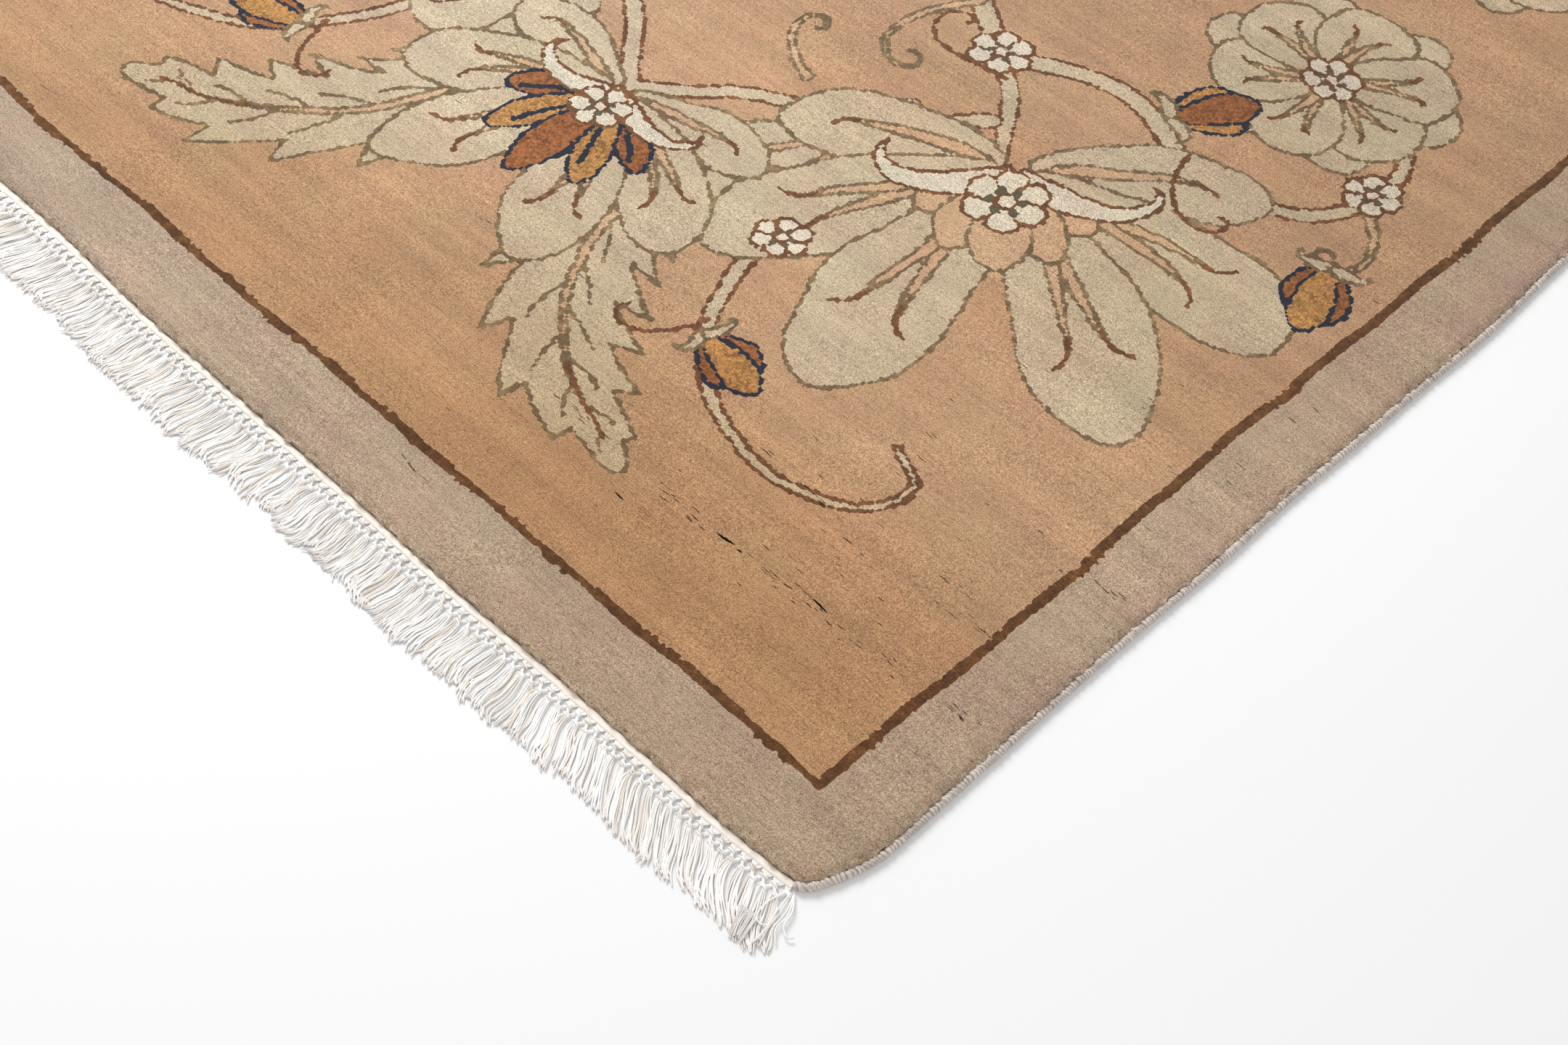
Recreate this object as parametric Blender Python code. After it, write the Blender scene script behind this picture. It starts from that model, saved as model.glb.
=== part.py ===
"""Hand-knotted wool rug with knotted cotton fringes, lying flat.

Metres, +Z up. The origin is on the floor under the middle of the rug. X runs across the
rug along its wefts and Y runs along its warps, so the fringed ends face -Y and +Y. Every
edge is placed along one outline, a rectangle with drawn-in corners that waves a little as
a hand-woven edge does. A station is a distance along that outline, counted anticlockwise
from the middle of the near end, and an offset is a distance outwards from it.
"""

import math

import bmesh
import bpy
from mathutils import Vector

# Knotted body
PILE_WIDTH = 1.508
PILE_LENGTH = 2.440
PILE_THICKNESS = 0.011
SHOULDER_INSET = 0.0045
SHOULDER_DROP = 0.0040

CORNER_POINTS = (  # in from the end (m), in from the side (m)
    (0.0000, 0.1200),
    (0.0042, 0.0740),
    (0.0085, 0.0260),
    (0.0125, 0.0195),
    (0.0300, 0.0125),
    (0.0550, 0.0045),
    (0.0850, 0.0000),
)
JOINT_ROW = 2  # the point of a corner where its end turns into its side
CORNERS = (  # side of X, side of Y, size of its drawn-in corner
    (1, -1, 1.00),
    (1, 1, 0.80),
    (-1, 1, 0.95),
    (-1, -1, 0.75),
)
SMOOTHING_ROUNDS = 3
CUT_SHARE = 0.25  # of each side, cut off next to a corner in a round

# What runs round the body, each piece a small gap from the next
GAP = 0.0003
SELVEDGE_DIAMETER = 0.0070
SELVEDGE_SIDES = 6
HEADING_WIDTH = 0.0065
HEADING_THICKNESS = 0.0030

# Fringe: a band of knots that carries one bundle of strands for each knot
FRINGE_THICKNESS = 0.0030
KNOT_BAND_WIDTH = 0.0130
BUNDLE_PITCH = 0.0105
BUNDLE_LENGTH = 0.0440
BUNDLE_SHARES = (0.0, 0.5, 1.0)  # of the way from the knot band to the tip
BUNDLE_HALF_WIDTHS = (0.0033, 0.0041, 0.0045)
MOST_OF_SPACING = 0.43
LEAN_EASE = 1.3

STRAND_LEANS = (  # across the rug (m), sideways lean of a tip (m), share of the full length
    (-0.760, -0.014, 0.60),
    (-0.700, -0.026, 0.90),
    (-0.400, -0.010, 1.00),
    (0.000, -0.004, 1.00),
    (0.400, 0.005, 1.00),
    (0.610, 0.034, 1.00),
    (0.700, 0.034, 0.90),
    (0.760, 0.020, 0.55),
)

# How far apart the sections of a swept edge are
STRAIGHT_STEP = 0.065
CORNER_STEP = 0.012
CORNER_ZONE = 0.090
CLOSEST_STEP = 0.0010
NORMAL_STEP = 0.0040

EDGE_WAVES = (  # amplitude (m), whole waves round the outline, phase (rad)
    (0.0016, 11, 0.6),
    (0.0012, 19, 2.3),
    (0.0005, 37, 4.0),
)
TIP_WAVES = (  # amplitude (m), whole waves round the outline, phase (rad)
    (0.0020, 23, 1.1),
    (0.0012, 61, 3.7),
)

COLOURS = {  # linear base colour of each piece's yarn
    "pile": (0.47, 0.33, 0.21, 1.0),
    "selvedge": (0.46, 0.42, 0.41, 1.0),
    "heading": (0.83, 0.76, 0.68, 1.0),
    "fringe": (0.90, 0.88, 0.86, 1.0),
}
YARN_ROUGHNESS = 0.9


def clear_scene():
    for thing in list(bpy.data.objects):
        bpy.data.objects.remove(thing, do_unlink=True)


def control_points():
    """The outline's corners by hand, anticlockwise from the middle of the near end."""
    points = [Vector((0.0, -PILE_LENGTH / 2))]
    for side_x, side_y, size in CORNERS:
        turn = []
        for from_end, from_side in CORNER_POINTS:
            x = side_x * (PILE_WIDTH / 2 - size * from_side)
            y = side_y * (PILE_LENGTH / 2 - size * from_end)
            turn.append(Vector((x, y)))
        points += turn if side_x * side_y < 0 else turn[::-1]
    return points


def cut_corners(points):
    """One round of Chaikin smoothing of a line, which keeps its two ends."""
    smoothed = [points[0]]
    for point, after in zip(points, points[1:]):
        smoothed += [point.lerp(after, CUT_SHARE), after.lerp(point, CUT_SHARE)]
    return smoothed + [points[-1]]


def outline_points():
    points = control_points()
    points.append(points[0])
    for _ in range(SMOOTHING_ROUNDS):
        points = cut_corners(points)
    return points[:-1]


OUTLINE = outline_points()
LENGTHS = [(after - point).length for point, after in zip(OUTLINE, OUTLINE[1:] + OUTLINE[:1])]
PERIMETER = sum(LENGTHS)


def outline_point(station):
    left = station % PERIMETER
    for index, length in enumerate(LENGTHS):
        if left <= length:
            break
        left -= length
    after = OUTLINE[(index + 1) % len(OUTLINE)]
    return OUTLINE[index].lerp(after, left / length)


def outward_at(station):
    along = outline_point(station + NORMAL_STEP) - outline_point(station - NORMAL_STEP)
    return Vector((along.y, -along.x)).normalized()


def waves(table, station):
    turn = 2 * math.pi * station / PERIMETER
    return sum(size * math.sin(count * turn + phase) for size, count, phase in table)


def edge_point(station, offset):
    out = offset + waves(EDGE_WAVES, station)
    return outline_point(station) + outward_at(station) * out


def joint_station(corner):
    """Where the heading gives way to the selvedge: the sharpest place of this corner."""
    side_x, side_y, size = CORNERS[corner]
    from_end, from_side = CORNER_POINTS[JOINT_ROW]
    joint = Vector((
        side_x * (PILE_WIDTH / 2 - size * from_side),
        side_y * (PILE_LENGTH / 2 - size * from_end),
    ))
    nearest = min(range(len(OUTLINE)), key=lambda index: (OUTLINE[index] - joint).length)
    return sum(LENGTHS[:nearest])


JOINTS = [joint_station(corner) for corner in range(4)]


def section_stations():
    """Stations for one lap, closer together near each joint and with one on every joint."""
    marks = []
    for joint, after in zip(JOINTS, JOINTS[1:] + [JOINTS[0] + PERIMETER]):
        zone_pieces = round(CORNER_ZONE / CORNER_STEP)
        step = CORNER_ZONE / zone_pieces
        straight = after - joint - 2 * CORNER_ZONE
        straight_pieces = round(straight / STRAIGHT_STEP)
        marks += [joint + step * k for k in range(zone_pieces)]
        marks += [joint + CORNER_ZONE + straight * k / straight_pieces for k in range(straight_pieces)]
        marks += [after - CORNER_ZONE + step * k for k in range(zone_pieces)]
    return marks


def stations_between(first, last):
    """The two ends and the stations between them that aren't almost on an end."""
    marks = [mark + turn * PERIMETER for turn in (-1, 0, 1) for mark in section_stations()]
    lowest = first + CLOSEST_STEP
    highest = last - CLOSEST_STEP
    return [first] + [mark for mark in marks if lowest < mark < highest] + [last]


def yarn_material(name, colour):
    material = bpy.data.materials.new(name)
    material.use_nodes = True
    shader = material.node_tree.nodes["Principled BSDF"]
    shader.inputs["Base Color"].default_value = colour
    shader.inputs["Roughness"].default_value = YARN_ROUGHNESS
    shader.inputs["Metallic"].default_value = 0.0
    return material


def add_object(name, builder, colour):
    """Turns a closed bmesh into a named object with its own material."""
    bmesh.ops.recalc_face_normals(builder, faces=builder.faces)
    mesh = bpy.data.meshes.new(name)
    builder.to_mesh(mesh)
    builder.free()
    mesh.materials.append(yarn_material(name, colour))
    piece = bpy.data.objects.new(name, mesh)
    bpy.context.scene.collection.objects.link(piece)
    return piece


def bridge(builder, lower, upper):
    """Walls between two closed rings of as many corners each."""
    for i in range(len(lower)):
        j = (i + 1) % len(lower)
        builder.faces.new((lower[i], lower[j], upper[j], upper[i]))


def add_ring(builder, points, height):
    return [builder.verts.new((point.x, point.y, height)) for point in points]


def make_pile():
    """The knotted body: a slab with the uneven outline and a rounded-off upper edge."""
    builder = bmesh.new()
    marks = stations_between(0.0, PERIMETER)[:-1]
    foot = [edge_point(mark, 0.0) for mark in marks]
    top = [edge_point(mark, -SHOULDER_INSET) for mark in marks]
    rings = [
        add_ring(builder, foot, 0.0),
        add_ring(builder, foot, PILE_THICKNESS - SHOULDER_DROP),
        add_ring(builder, top, PILE_THICKNESS),
    ]
    bridge(builder, rings[0], rings[1])
    bridge(builder, rings[1], rings[2])
    builder.faces.new(rings[0])
    builder.faces.new(rings[2])
    return add_object("pile_body", builder, COLOURS["pile"])


def sweep(name, first, last, section, colour):
    """A closed section of (offset, height) corners, carried along the outline and capped."""
    builder = bmesh.new()
    rings = []
    for mark in stations_between(first, last):
        ring = []
        for offset, height in section:
            point = edge_point(mark, offset)
            ring.append(builder.verts.new((point.x, point.y, height)))
        rings.append(ring)
    for ring, after in zip(rings, rings[1:]):
        bridge(builder, ring, after)
    builder.faces.new(rings[0])
    builder.faces.new(rings[-1])
    return add_object(name, builder, colour)


def make_selvedge(name, first_joint, last_joint):
    """The overcast cord along one long side, lying on the floor."""
    radius = SELVEDGE_DIAMETER / 2
    flat = math.sin(math.pi / 3)
    section = []
    for k in range(SELVEDGE_SIDES):
        angle = 2 * math.pi * k / SELVEDGE_SIDES
        offset = GAP + radius * (1 + math.cos(angle))
        section.append((offset, radius * (1 + math.sin(angle) / flat)))
    return sweep(name, first_joint + GAP, last_joint - GAP, section, COLOURS["selvedge"])


def make_heading(name, first_joint, last_joint):
    """The flat-woven strip between the pile and the fringe's knots."""
    inner = GAP
    outer = GAP + HEADING_WIDTH
    section = ((inner, 0.0), (outer, 0.0), (outer, HEADING_THICKNESS), (inner, HEADING_THICKNESS))
    return sweep(name, first_joint, last_joint, section, COLOURS["heading"])


def lean_at(across):
    """How far a tip leans and what share of its length a bundle has, this far across."""
    across = min(max(across, STRAND_LEANS[0][0]), STRAND_LEANS[-1][0])
    for (start, lean, length), (stop, next_lean, next_length) in zip(STRAND_LEANS, STRAND_LEANS[1:]):
        if across <= stop:
            break
    share = (across - start) / (stop - start)
    smooth = share * share * (3 - 2 * share)
    return lean + (next_lean - lean) * smooth, length + (next_length - length) * smooth


def bundle_line(station, facing):
    """The middle of one bundle, from the knot band to its tip. facing is the end's side of Y."""
    root = edge_point(station, 2 * GAP + HEADING_WIDTH + KNOT_BAND_WIDTH)
    lean, length_share = lean_at(-facing * root.x)
    length = BUNDLE_LENGTH * length_share + waves(TIP_WAVES, station)
    tip = Vector((-facing * lean, facing * length))
    return [root + Vector((tip.x * share**LEAN_EASE, tip.y * share)) for share in BUNDLE_SHARES]


def bundle_sides(lines, k):
    """The two sides of bundle k, which stay clear of the bundles next to it."""
    before = lines[max(k - 1, 0)]
    after = lines[min(k + 1, len(lines) - 1)]
    steps = 2 if 0 < k < len(lines) - 1 else 1
    first_side = []
    second_side = []
    for place, middle in enumerate(lines[k]):
        across = after[place] - before[place]
        clear = MOST_OF_SPACING * across.length / steps
        half = across.normalized() * min(BUNDLE_HALF_WIDTHS[place], clear)
        first_side.append(middle - half)
        second_side.append(middle + half)
    return first_side, second_side


def make_fringe(name, first_joint, last_joint, facing):
    """One comb: the band of knots with its bundles of strands, as one flat outline."""
    count = int((last_joint - first_joint) / BUNDLE_PITCH)
    pitch = (last_joint - first_joint) / count
    lines = [bundle_line(first_joint + (k + 0.5) * pitch, facing) for k in range(count)]
    outer_line = []
    for k in range(count):
        first_side, second_side = bundle_sides(lines, k)
        outer_line += first_side + second_side[::-1]
    marks = stations_between(first_joint, last_joint)
    inner_line = [edge_point(mark, 2 * GAP + HEADING_WIDTH) for mark in reversed(marks)]
    builder = bmesh.new()
    lower = add_ring(builder, outer_line + inner_line, 0.0)
    upper = add_ring(builder, outer_line + inner_line, FRINGE_THICKNESS)
    bridge(builder, lower, upper)
    builder.faces.new(lower)
    builder.faces.new(upper)
    return add_object(name, builder, COLOURS["fringe"])


def centre_on_origin(pieces):
    """Moves the pieces together, so that the origin is under the middle of their box."""
    points = [vertex.co for piece in pieces for vertex in piece.data.vertices]
    middle_x = (min(point.x for point in points) + max(point.x for point in points)) / 2
    middle_y = (min(point.y for point in points) + max(point.y for point in points)) / 2
    for point in points:
        point.x -= middle_x
        point.y -= middle_y


def main():
    clear_scene()
    near_right, far_right, far_left, near_left = JOINTS
    centre_on_origin([
        make_pile(),
        make_selvedge("selvedge_right", near_right, far_right),
        make_selvedge("selvedge_left", far_left, near_left),
        make_heading("heading_near", near_left - PERIMETER, near_right),
        make_heading("heading_far", far_right, far_left),
        make_fringe("fringe_near", near_left - PERIMETER, near_right, facing=-1),
        make_fringe("fringe_far", far_right, far_left, facing=1),
    ])


main()
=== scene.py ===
"""Looks of a hand-knotted wool rug with knotted cotton fringes, lying flat on a pale floor.

The field's flowers are worked out as a knot chart, one yarn for each knot, drawn by functions
in rug metres and mirrored in quarters. The pile's top is one mesh, cut along the edges of the
knots where the yarn changes. The edges follow the outline of the CAD model: a station is a
distance along it, anticlockwise from the middle of the near end, and an offset is a distance
outwards from it. Metres, +Z up, the fringed ends facing -Y and +Y.
"""

import math

import bpy
import numpy as np
from mathutils import Matrix, Vector
from mathutils.geometry import delaunay_2d_cdt


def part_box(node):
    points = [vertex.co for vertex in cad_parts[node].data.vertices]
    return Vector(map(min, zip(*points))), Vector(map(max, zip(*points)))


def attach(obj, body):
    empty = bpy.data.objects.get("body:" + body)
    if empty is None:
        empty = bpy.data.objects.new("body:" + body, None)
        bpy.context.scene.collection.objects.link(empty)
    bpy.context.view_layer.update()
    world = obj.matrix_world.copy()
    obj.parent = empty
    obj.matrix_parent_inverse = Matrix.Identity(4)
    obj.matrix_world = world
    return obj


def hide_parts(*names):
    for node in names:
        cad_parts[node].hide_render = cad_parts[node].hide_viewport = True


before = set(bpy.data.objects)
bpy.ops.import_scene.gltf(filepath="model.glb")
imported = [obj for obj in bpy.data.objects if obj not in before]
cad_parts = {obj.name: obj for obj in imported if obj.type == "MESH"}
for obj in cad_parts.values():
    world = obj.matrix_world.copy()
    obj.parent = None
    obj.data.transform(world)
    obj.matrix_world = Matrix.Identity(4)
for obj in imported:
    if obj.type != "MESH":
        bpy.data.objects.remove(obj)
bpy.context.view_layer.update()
rng = np.random.default_rng(20)

# ------------------------------------------------------------------ sizes shared with the CAD
PILE_WIDTH = 1.508
PILE_LENGTH = 2.440
PILE_THICKNESS = 0.011
CORNER_POINTS = (  # in from the end (m), in from the side (m)
    (0.0000, 0.1200),
    (0.0042, 0.0740),
    (0.0085, 0.0260),
    (0.0125, 0.0195),
    (0.0300, 0.0125),
    (0.0550, 0.0045),
    (0.0850, 0.0000),
)
JOINT_ROW = 2  # the point of a corner where its end turns into its side
CORNERS = (  # side of X, side of Y, size of its drawn-in corner
    (1, -1, 1.00),
    (1, 1, 0.80),
    (-1, 1, 0.95),
    (-1, -1, 0.75),
)
SMOOTHING_ROUNDS = 3
CUT_SHARE = 0.25
NORMAL_STEP = 0.0040
EDGE_WAVES = (  # amplitude (m), whole waves round the outline, phase (rad)
    (0.0016, 11, 0.6),
    (0.0012, 19, 2.3),
    (0.0005, 37, 4.0),
)
TIP_WAVES = (  # amplitude (m), whole waves round the outline, phase (rad)
    (0.0020, 23, 1.1),
    (0.0012, 61, 3.7),
)
GAP = 0.0003
SELVEDGE_DIAMETER = 0.0070
HEADING_WIDTH = 0.0065
HEADING_THICKNESS = 0.0030
KNOT_BAND_WIDTH = 0.0130
BUNDLE_PITCH = 0.0105
BUNDLE_LENGTH = 0.0440
LEAN_EASE = 1.3
STRAND_LEANS = (  # across the rug (m), sideways lean of a tip (m), share of the full length
    (-0.760, -0.014, 0.60),
    (-0.700, -0.026, 0.90),
    (-0.400, -0.010, 1.00),
    (0.000, -0.004, 1.00),
    (0.400, 0.005, 1.00),
    (0.610, 0.034, 1.00),
    (0.700, 0.034, 0.90),
    (0.760, 0.020, 0.55),
)

# ------------------------------------------------------------------ the knot chart
KNOT = 0.0032
SIDE_BORDER = 0.0705
END_BORDER = 0.0755
GUARD_KNOTS = 2
GUARD_RAG = 0.35
GUARD_WAVES = (  # size, rad a metre along X and Y, phase (rad)
    (1, 53, 0, 31),
    (1, 0, 47, 2),
    (1, 19, -23, 0),
)
GUARD_OUTER = 0.4  # the line is a knot wider outwards where the waves and the rag are above this
GUARD_INNER_SIDE = 0.5  # and inwards where they are below this, along the sides and the ends
GUARD_INNER_END = -1.2
OUTLINE_WIDTH = 0.0040
RAG = 0.00045  # how unevenly the drawn lines fall on the knots

YARNS = {  # sRGB colour of each yarn, and how mottled it is: darker flecks above 0, paler below
    "field": ((173, 132, 93), 0.0),
    "border": ((170, 147, 124), 0.0),
    "guard": ((79, 49, 23), -0.8),
    "petal": ((179, 155, 119), 0.0),
    "line": ((100, 79, 51), -0.7),
    "vein": ((183, 144, 104), 0.0),
    "floret": ((196, 177, 146), 0.0),
    "umber": ((92, 57, 31), -0.6),
    "olive": ((88, 74, 52), 0.0),
    "gold": ((176, 122, 64), 0.7),
    "rust": ((146, 86, 44), 0.7),
    "navy": ((30, 34, 42), 0.0),
    # Painted shade: the next two are no yarns; the faces down in the slits and small partings are
    # painted near black and brown for the shade in them.
    "slit": ((24, 12, 6), 0.0),
    "parting_shade": ((108, 72, 44), 0.0),
    # Painted light: the pile's sides are not a yarn of their own; their colour is paler than the
    # border's to lift the shade they lie in.
    "wall": ((182, 160, 136), 0.0),
}
YARN = {name: index for index, name in enumerate(YARNS)}


def linear(srgb):
    """Linear light from 0..255 sRGB."""
    share = np.asarray(srgb, float) / 255
    return np.where(share > 0.04045, ((share + 0.055) / 1.055) ** 2.4, share / 12.92)


# ------------------------------------------------------------------ the outline
def corner_place(corner, row):
    """One point of a corner's turn."""
    side_x, side_y, size = CORNERS[corner]
    from_end, from_side = CORNER_POINTS[row]
    return side_x * (PILE_WIDTH / 2 - size * from_side), side_y * (PILE_LENGTH / 2 - size * from_end)


def waves(table, along):
    """A sum of waves: each row is a size, rad for each unit along, and a phase."""
    return sum(size * np.sin(rate * along + phase) for size, rate, phase in table)


def plane_waves(table, x, y):
    """A sum of waves: each row is a size, rad for each unit of x and of y, and a phase."""
    return sum(size * np.sin(in_x * x + in_y * y + phase) for size, in_x, in_y, phase in table)


def control_points():
    points = [(0.0, -PILE_LENGTH / 2)]
    for corner, (side_x, side_y, _) in enumerate(CORNERS):
        turn = [corner_place(corner, row) for row in range(len(CORNER_POINTS))]
        points += turn if side_x * side_y < 0 else turn[::-1]
    return np.array(points + points[:1])


def cut_corners(points):
    """One round of Chaikin smoothing of a line, which keeps its two ends."""
    before = points[:-1]
    after = points[1:]
    cut = np.stack([before + (after - before) * CUT_SHARE, after + (before - after) * CUT_SHARE], 1)
    return np.vstack([points[:1], cut.reshape(-1, 2), points[-1:]])


def outline_points():
    points = control_points()
    for _ in range(SMOOTHING_ROUNDS):
        points = cut_corners(points)
    return points


def reach_along(line):
    """How far along a line each of its points is."""
    return np.concatenate([[0.0], np.cumsum(np.hypot(*np.diff(line, axis=0).T))])


def on_line(marks, reach, line):
    return np.stack([np.interp(marks, reach, line[:, 0]), np.interp(marks, reach, line[:, 1])], -1)


OUTLINE = outline_points()
STATIONS = reach_along(OUTLINE)
PERIMETER = STATIONS[-1]


def outline_at(stations):
    return on_line(np.asarray(stations, float) % PERIMETER, STATIONS, OUTLINE)


def outward_at(stations):
    stations = np.asarray(stations, float)
    along = outline_at(stations + NORMAL_STEP) - outline_at(stations - NORMAL_STEP)
    out = np.stack([along[..., 1], -along[..., 0]], -1)
    return out / np.linalg.norm(out, axis=-1, keepdims=True)


def outline_waves(table, stations):
    """A sum of waves: each row is a size, whole waves round the outline, and a phase."""
    return waves(table, 2 * np.pi * np.asarray(stations, float) / PERIMETER)


def raw_edge(stations, offsets):
    out = offsets + outline_waves(EDGE_WAVES, stations)
    return outline_at(stations) + outward_at(stations) * np.asarray(out)[..., None]


SHIFT_SAMPLES = 400


def cad_shift():
    """How far the CAD model was moved to centre it on its origin."""
    foot = raw_edge(np.linspace(0, PERIMETER, SHIFT_SAMPLES), 0.0)
    low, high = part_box("pile_body")
    middle = (np.array(low[:2]) + np.array(high[:2])) / 2
    return middle - (foot.min(0) + foot.max(0)) / 2


SHIFT = cad_shift()


def edge_points(stations, offsets):
    return raw_edge(stations, offsets) + SHIFT


def joint_station(corner):
    joint = corner_place(corner, JOINT_ROW)
    return STATIONS[np.argmin(np.hypot(*(OUTLINE - joint).T))]


JOINTS = [joint_station(corner) for corner in range(4)]


# ------------------------------------------------------------------ lines for the chart
CURVE_STEPS = 12  # between two given points
BEND_STEPS = 24
CURL_STEPS = 70
CURL_SHORTENING = 0.55
BLADE_STEPS = 56


def smooth_line(points):
    """A Catmull-Rom curve through given points."""
    p = np.array(points, float)
    p = np.vstack([2 * p[0] - p[1], p, 2 * p[-1] - p[-2]])
    t = np.linspace(0, 1, CURVE_STEPS, endpoint=False)[:, None]
    pieces = []
    for a, b, c, d in zip(p, p[1:], p[2:], p[3:]):
        bend = (2 * a - 5 * b + 4 * c - d) * t**2 + (3 * b - a - 3 * c + d) * t**3
        pieces.append(0.5 * (2 * b + (c - a) * t + bend))
    return np.vstack(pieces + [p[-2][None]])


def resample(line, count):
    reach = reach_along(line)
    return on_line(np.linspace(0, reach[-1], count), reach, line)


def directions(line):
    along = np.gradient(line, axis=0)
    return along / (np.hypot(along[:, 0], along[:, 1])[:, None] + 1e-12)


def line_normals(line):
    along = directions(line)
    return np.stack([-along[:, 1], along[:, 0]], 1)


def unit(angle):
    return np.stack([np.cos(angle), np.sin(angle)], -1)


def mirrored(middle, left, right):
    """A closed outline: a line moved out to its left, and back along its right."""
    return np.vstack([middle + left, (middle - right)[::-1]])


def towards(point, angle, distance):
    return np.asarray(point) + distance * unit(angle)


def bent_line(start, angle, length, bend):
    """A line that leaves at an angle and turns by bend along its length."""
    steps = unit(angle + bend * np.linspace(0, 1, BEND_STEPS)) * length / (BEND_STEPS - 1)
    return np.asarray(start) + np.vstack([[0, 0], np.cumsum((steps[:-1] + steps[1:]) / 2, 0)])


def curled_line(start, angle, length, bend, turns):
    """A line that turns by bend and then winds up, its steps growing shorter."""
    share = np.linspace(0, 1, CURL_STEPS)
    steps = unit(angle + bend * share + 2 * np.pi * turns * share**3)
    steps *= (length / (CURL_STEPS - 1) * (1 - CURL_SHORTENING * share))[:, None]
    return np.asarray(start) + np.vstack([[0, 0], np.cumsum(steps[:-1], 0)])


def blade(rib, half_width, count=BLADE_STEPS):
    """The outline of a petal or leaf: its rib, widened on both sides."""
    middle = resample(rib, count)
    out = line_normals(middle) * half_width(np.linspace(0, 1, count))[:, None]
    return mirrored(middle, out, out)


def petal_profile(width, peak, base=0.3, tip=2.4, roundness=0.62):
    """Half a petal's width along it: from a narrow base to a peak and a rounded tip."""
    def half_width(t):
        rise = base + (1 - base) * np.sin(np.pi / 2 * np.clip(t / peak, 0, 1))
        fall = np.clip((t - peak) / (1 - peak), 0, 1)
        return width * rise * (1 - fall**tip) ** roundness + 1e-4
    return half_width


PETAL_STEPS = 60
PETAL_PEAK = 0.62  # share of a petal's length where it is widest
LEFT_RUFFLE = (0.09, 11.0, 1.0, 0.0)  # size, rad along the petal, rad for each rad of phase, phase
RIGHT_RUFFLE = (0.09, 9.5, 1.7, 2.0)


def petal_outline(rib, width, phase):
    """A petal whose two sides are ruffled in their own ways."""
    t = np.linspace(0, 1, PETAL_STEPS)
    middle = resample(rib, PETAL_STEPS)
    out = line_normals(middle) * petal_profile(width, PETAL_PEAK)(t)[:, None]
    left, right = (1 + plane_waves([ruffle], t, phase) * t for ruffle in (LEFT_RUFFLE, RIGHT_RUFFLE))
    return mirrored(middle, out * left[:, None], out * right[:, None])


# ------------------------------------------------------------------ the chart's motifs
FREEHAND_X = (  # how far motifs stray along X (m), waves a metre along X and Y, phase (rad)
    (0.0022, 1 / 0.90, 1 / 0.37, 1),
    (0.0012, -1 / 0.21, 1 / 0.13, 2),
)
FREEHAND_Y = (  # the same along Y
    (0.0022, 1 / 0.33, -1 / 0.80, 3),
    (0.0012, 1 / 0.12, 1 / 0.23, 5),
)
SPARE_KNOTS = 4  # columns and rows past the pile's own
REACH = 0.01  # how far past its drawn edge a motif's knots are looked at
VEIN_WIDTH = 0.28  # share of its petal's half width
VEIN_LENGTH = 0.74  # share of its petal's length
VEIN_LOSS = 0.07  # how much shorter each vein of a pair is
HOOK_SHARE = 0.15  # the last part of a vein, which turns into a hook
HOOK_TURN = 1.1
HOOK_WIDTH = OUTLINE_WIDTH * 1.15
VEIN_STEPS = 48
HOOK_STEP = 38  # the step of a vein where its dark hook starts
HEARTS = {  # yarn of the edge, then the spread (rad), length, width and yarn of each row
    "pale": ("line", (
        (1.00, 0.34, 0.075, "vein"),
        (0.52, 0.39, 0.078, "vein"),
        (0.00, 0.42, 0.085, "vein"),
    )),
    "fiery": ("navy", (
        (1.00, 0.50, 0.075, "rust"),
        (0.52, 0.60, 0.078, "gold"),
        (0.00, 0.68, 0.085, "rust"),
    )),
}
ROSETTE_ROWS = (  # turn (petals), start, length, width, bend (rad), veins, phase step (rad)
    (0.5, 0.20, 0.83, 0.8, 0.0, 0, 2.0),
    (0.0, 0.08, 0.86, 1.0, 0.1, 2, 1.3),
)
PALMETTE_ROWS = (  # spread (rad), length, width, bend (rad), veins
    (1.90, 0.70, 0.150, -0.55, 1),
    (1.18, 0.92, 0.190, -0.40, 2),
    (0.46, 1.02, 0.200, -0.10, 2),
)
FLORET_PETALS = 6
FLORET_EYE_POINTS = 20
FLORET_SHAPE = (0.66, 0.5, 3.0, 0.85)  # of its petals: peak, base, tip and roundness
SEPAL_SHAPE = (0.3, 0.8, 1.3, 0.85)
LEAF_SIDES = ((1, 0.0), (-1, 0.5))  # side, how far its teeth are shifted (teeth)
LEAF_FOOT = 0.08  # share of the leaf that has no teeth yet
LEAF_TOOTH_STEPS = 14
LEAF_TOOTH_DEPTH = 0.42
LEAF_TOOTH_HOOK = 0.30
LEAF_RIB_LEAN = 0.75
LEAF_RIB_LENGTH = 0.72
LEAF_RIB_BEND = 0.5
LEAF_STRIP = 0.013  # width of the vein along its middle
LEAF_STRIP_END = 0.93


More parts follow.
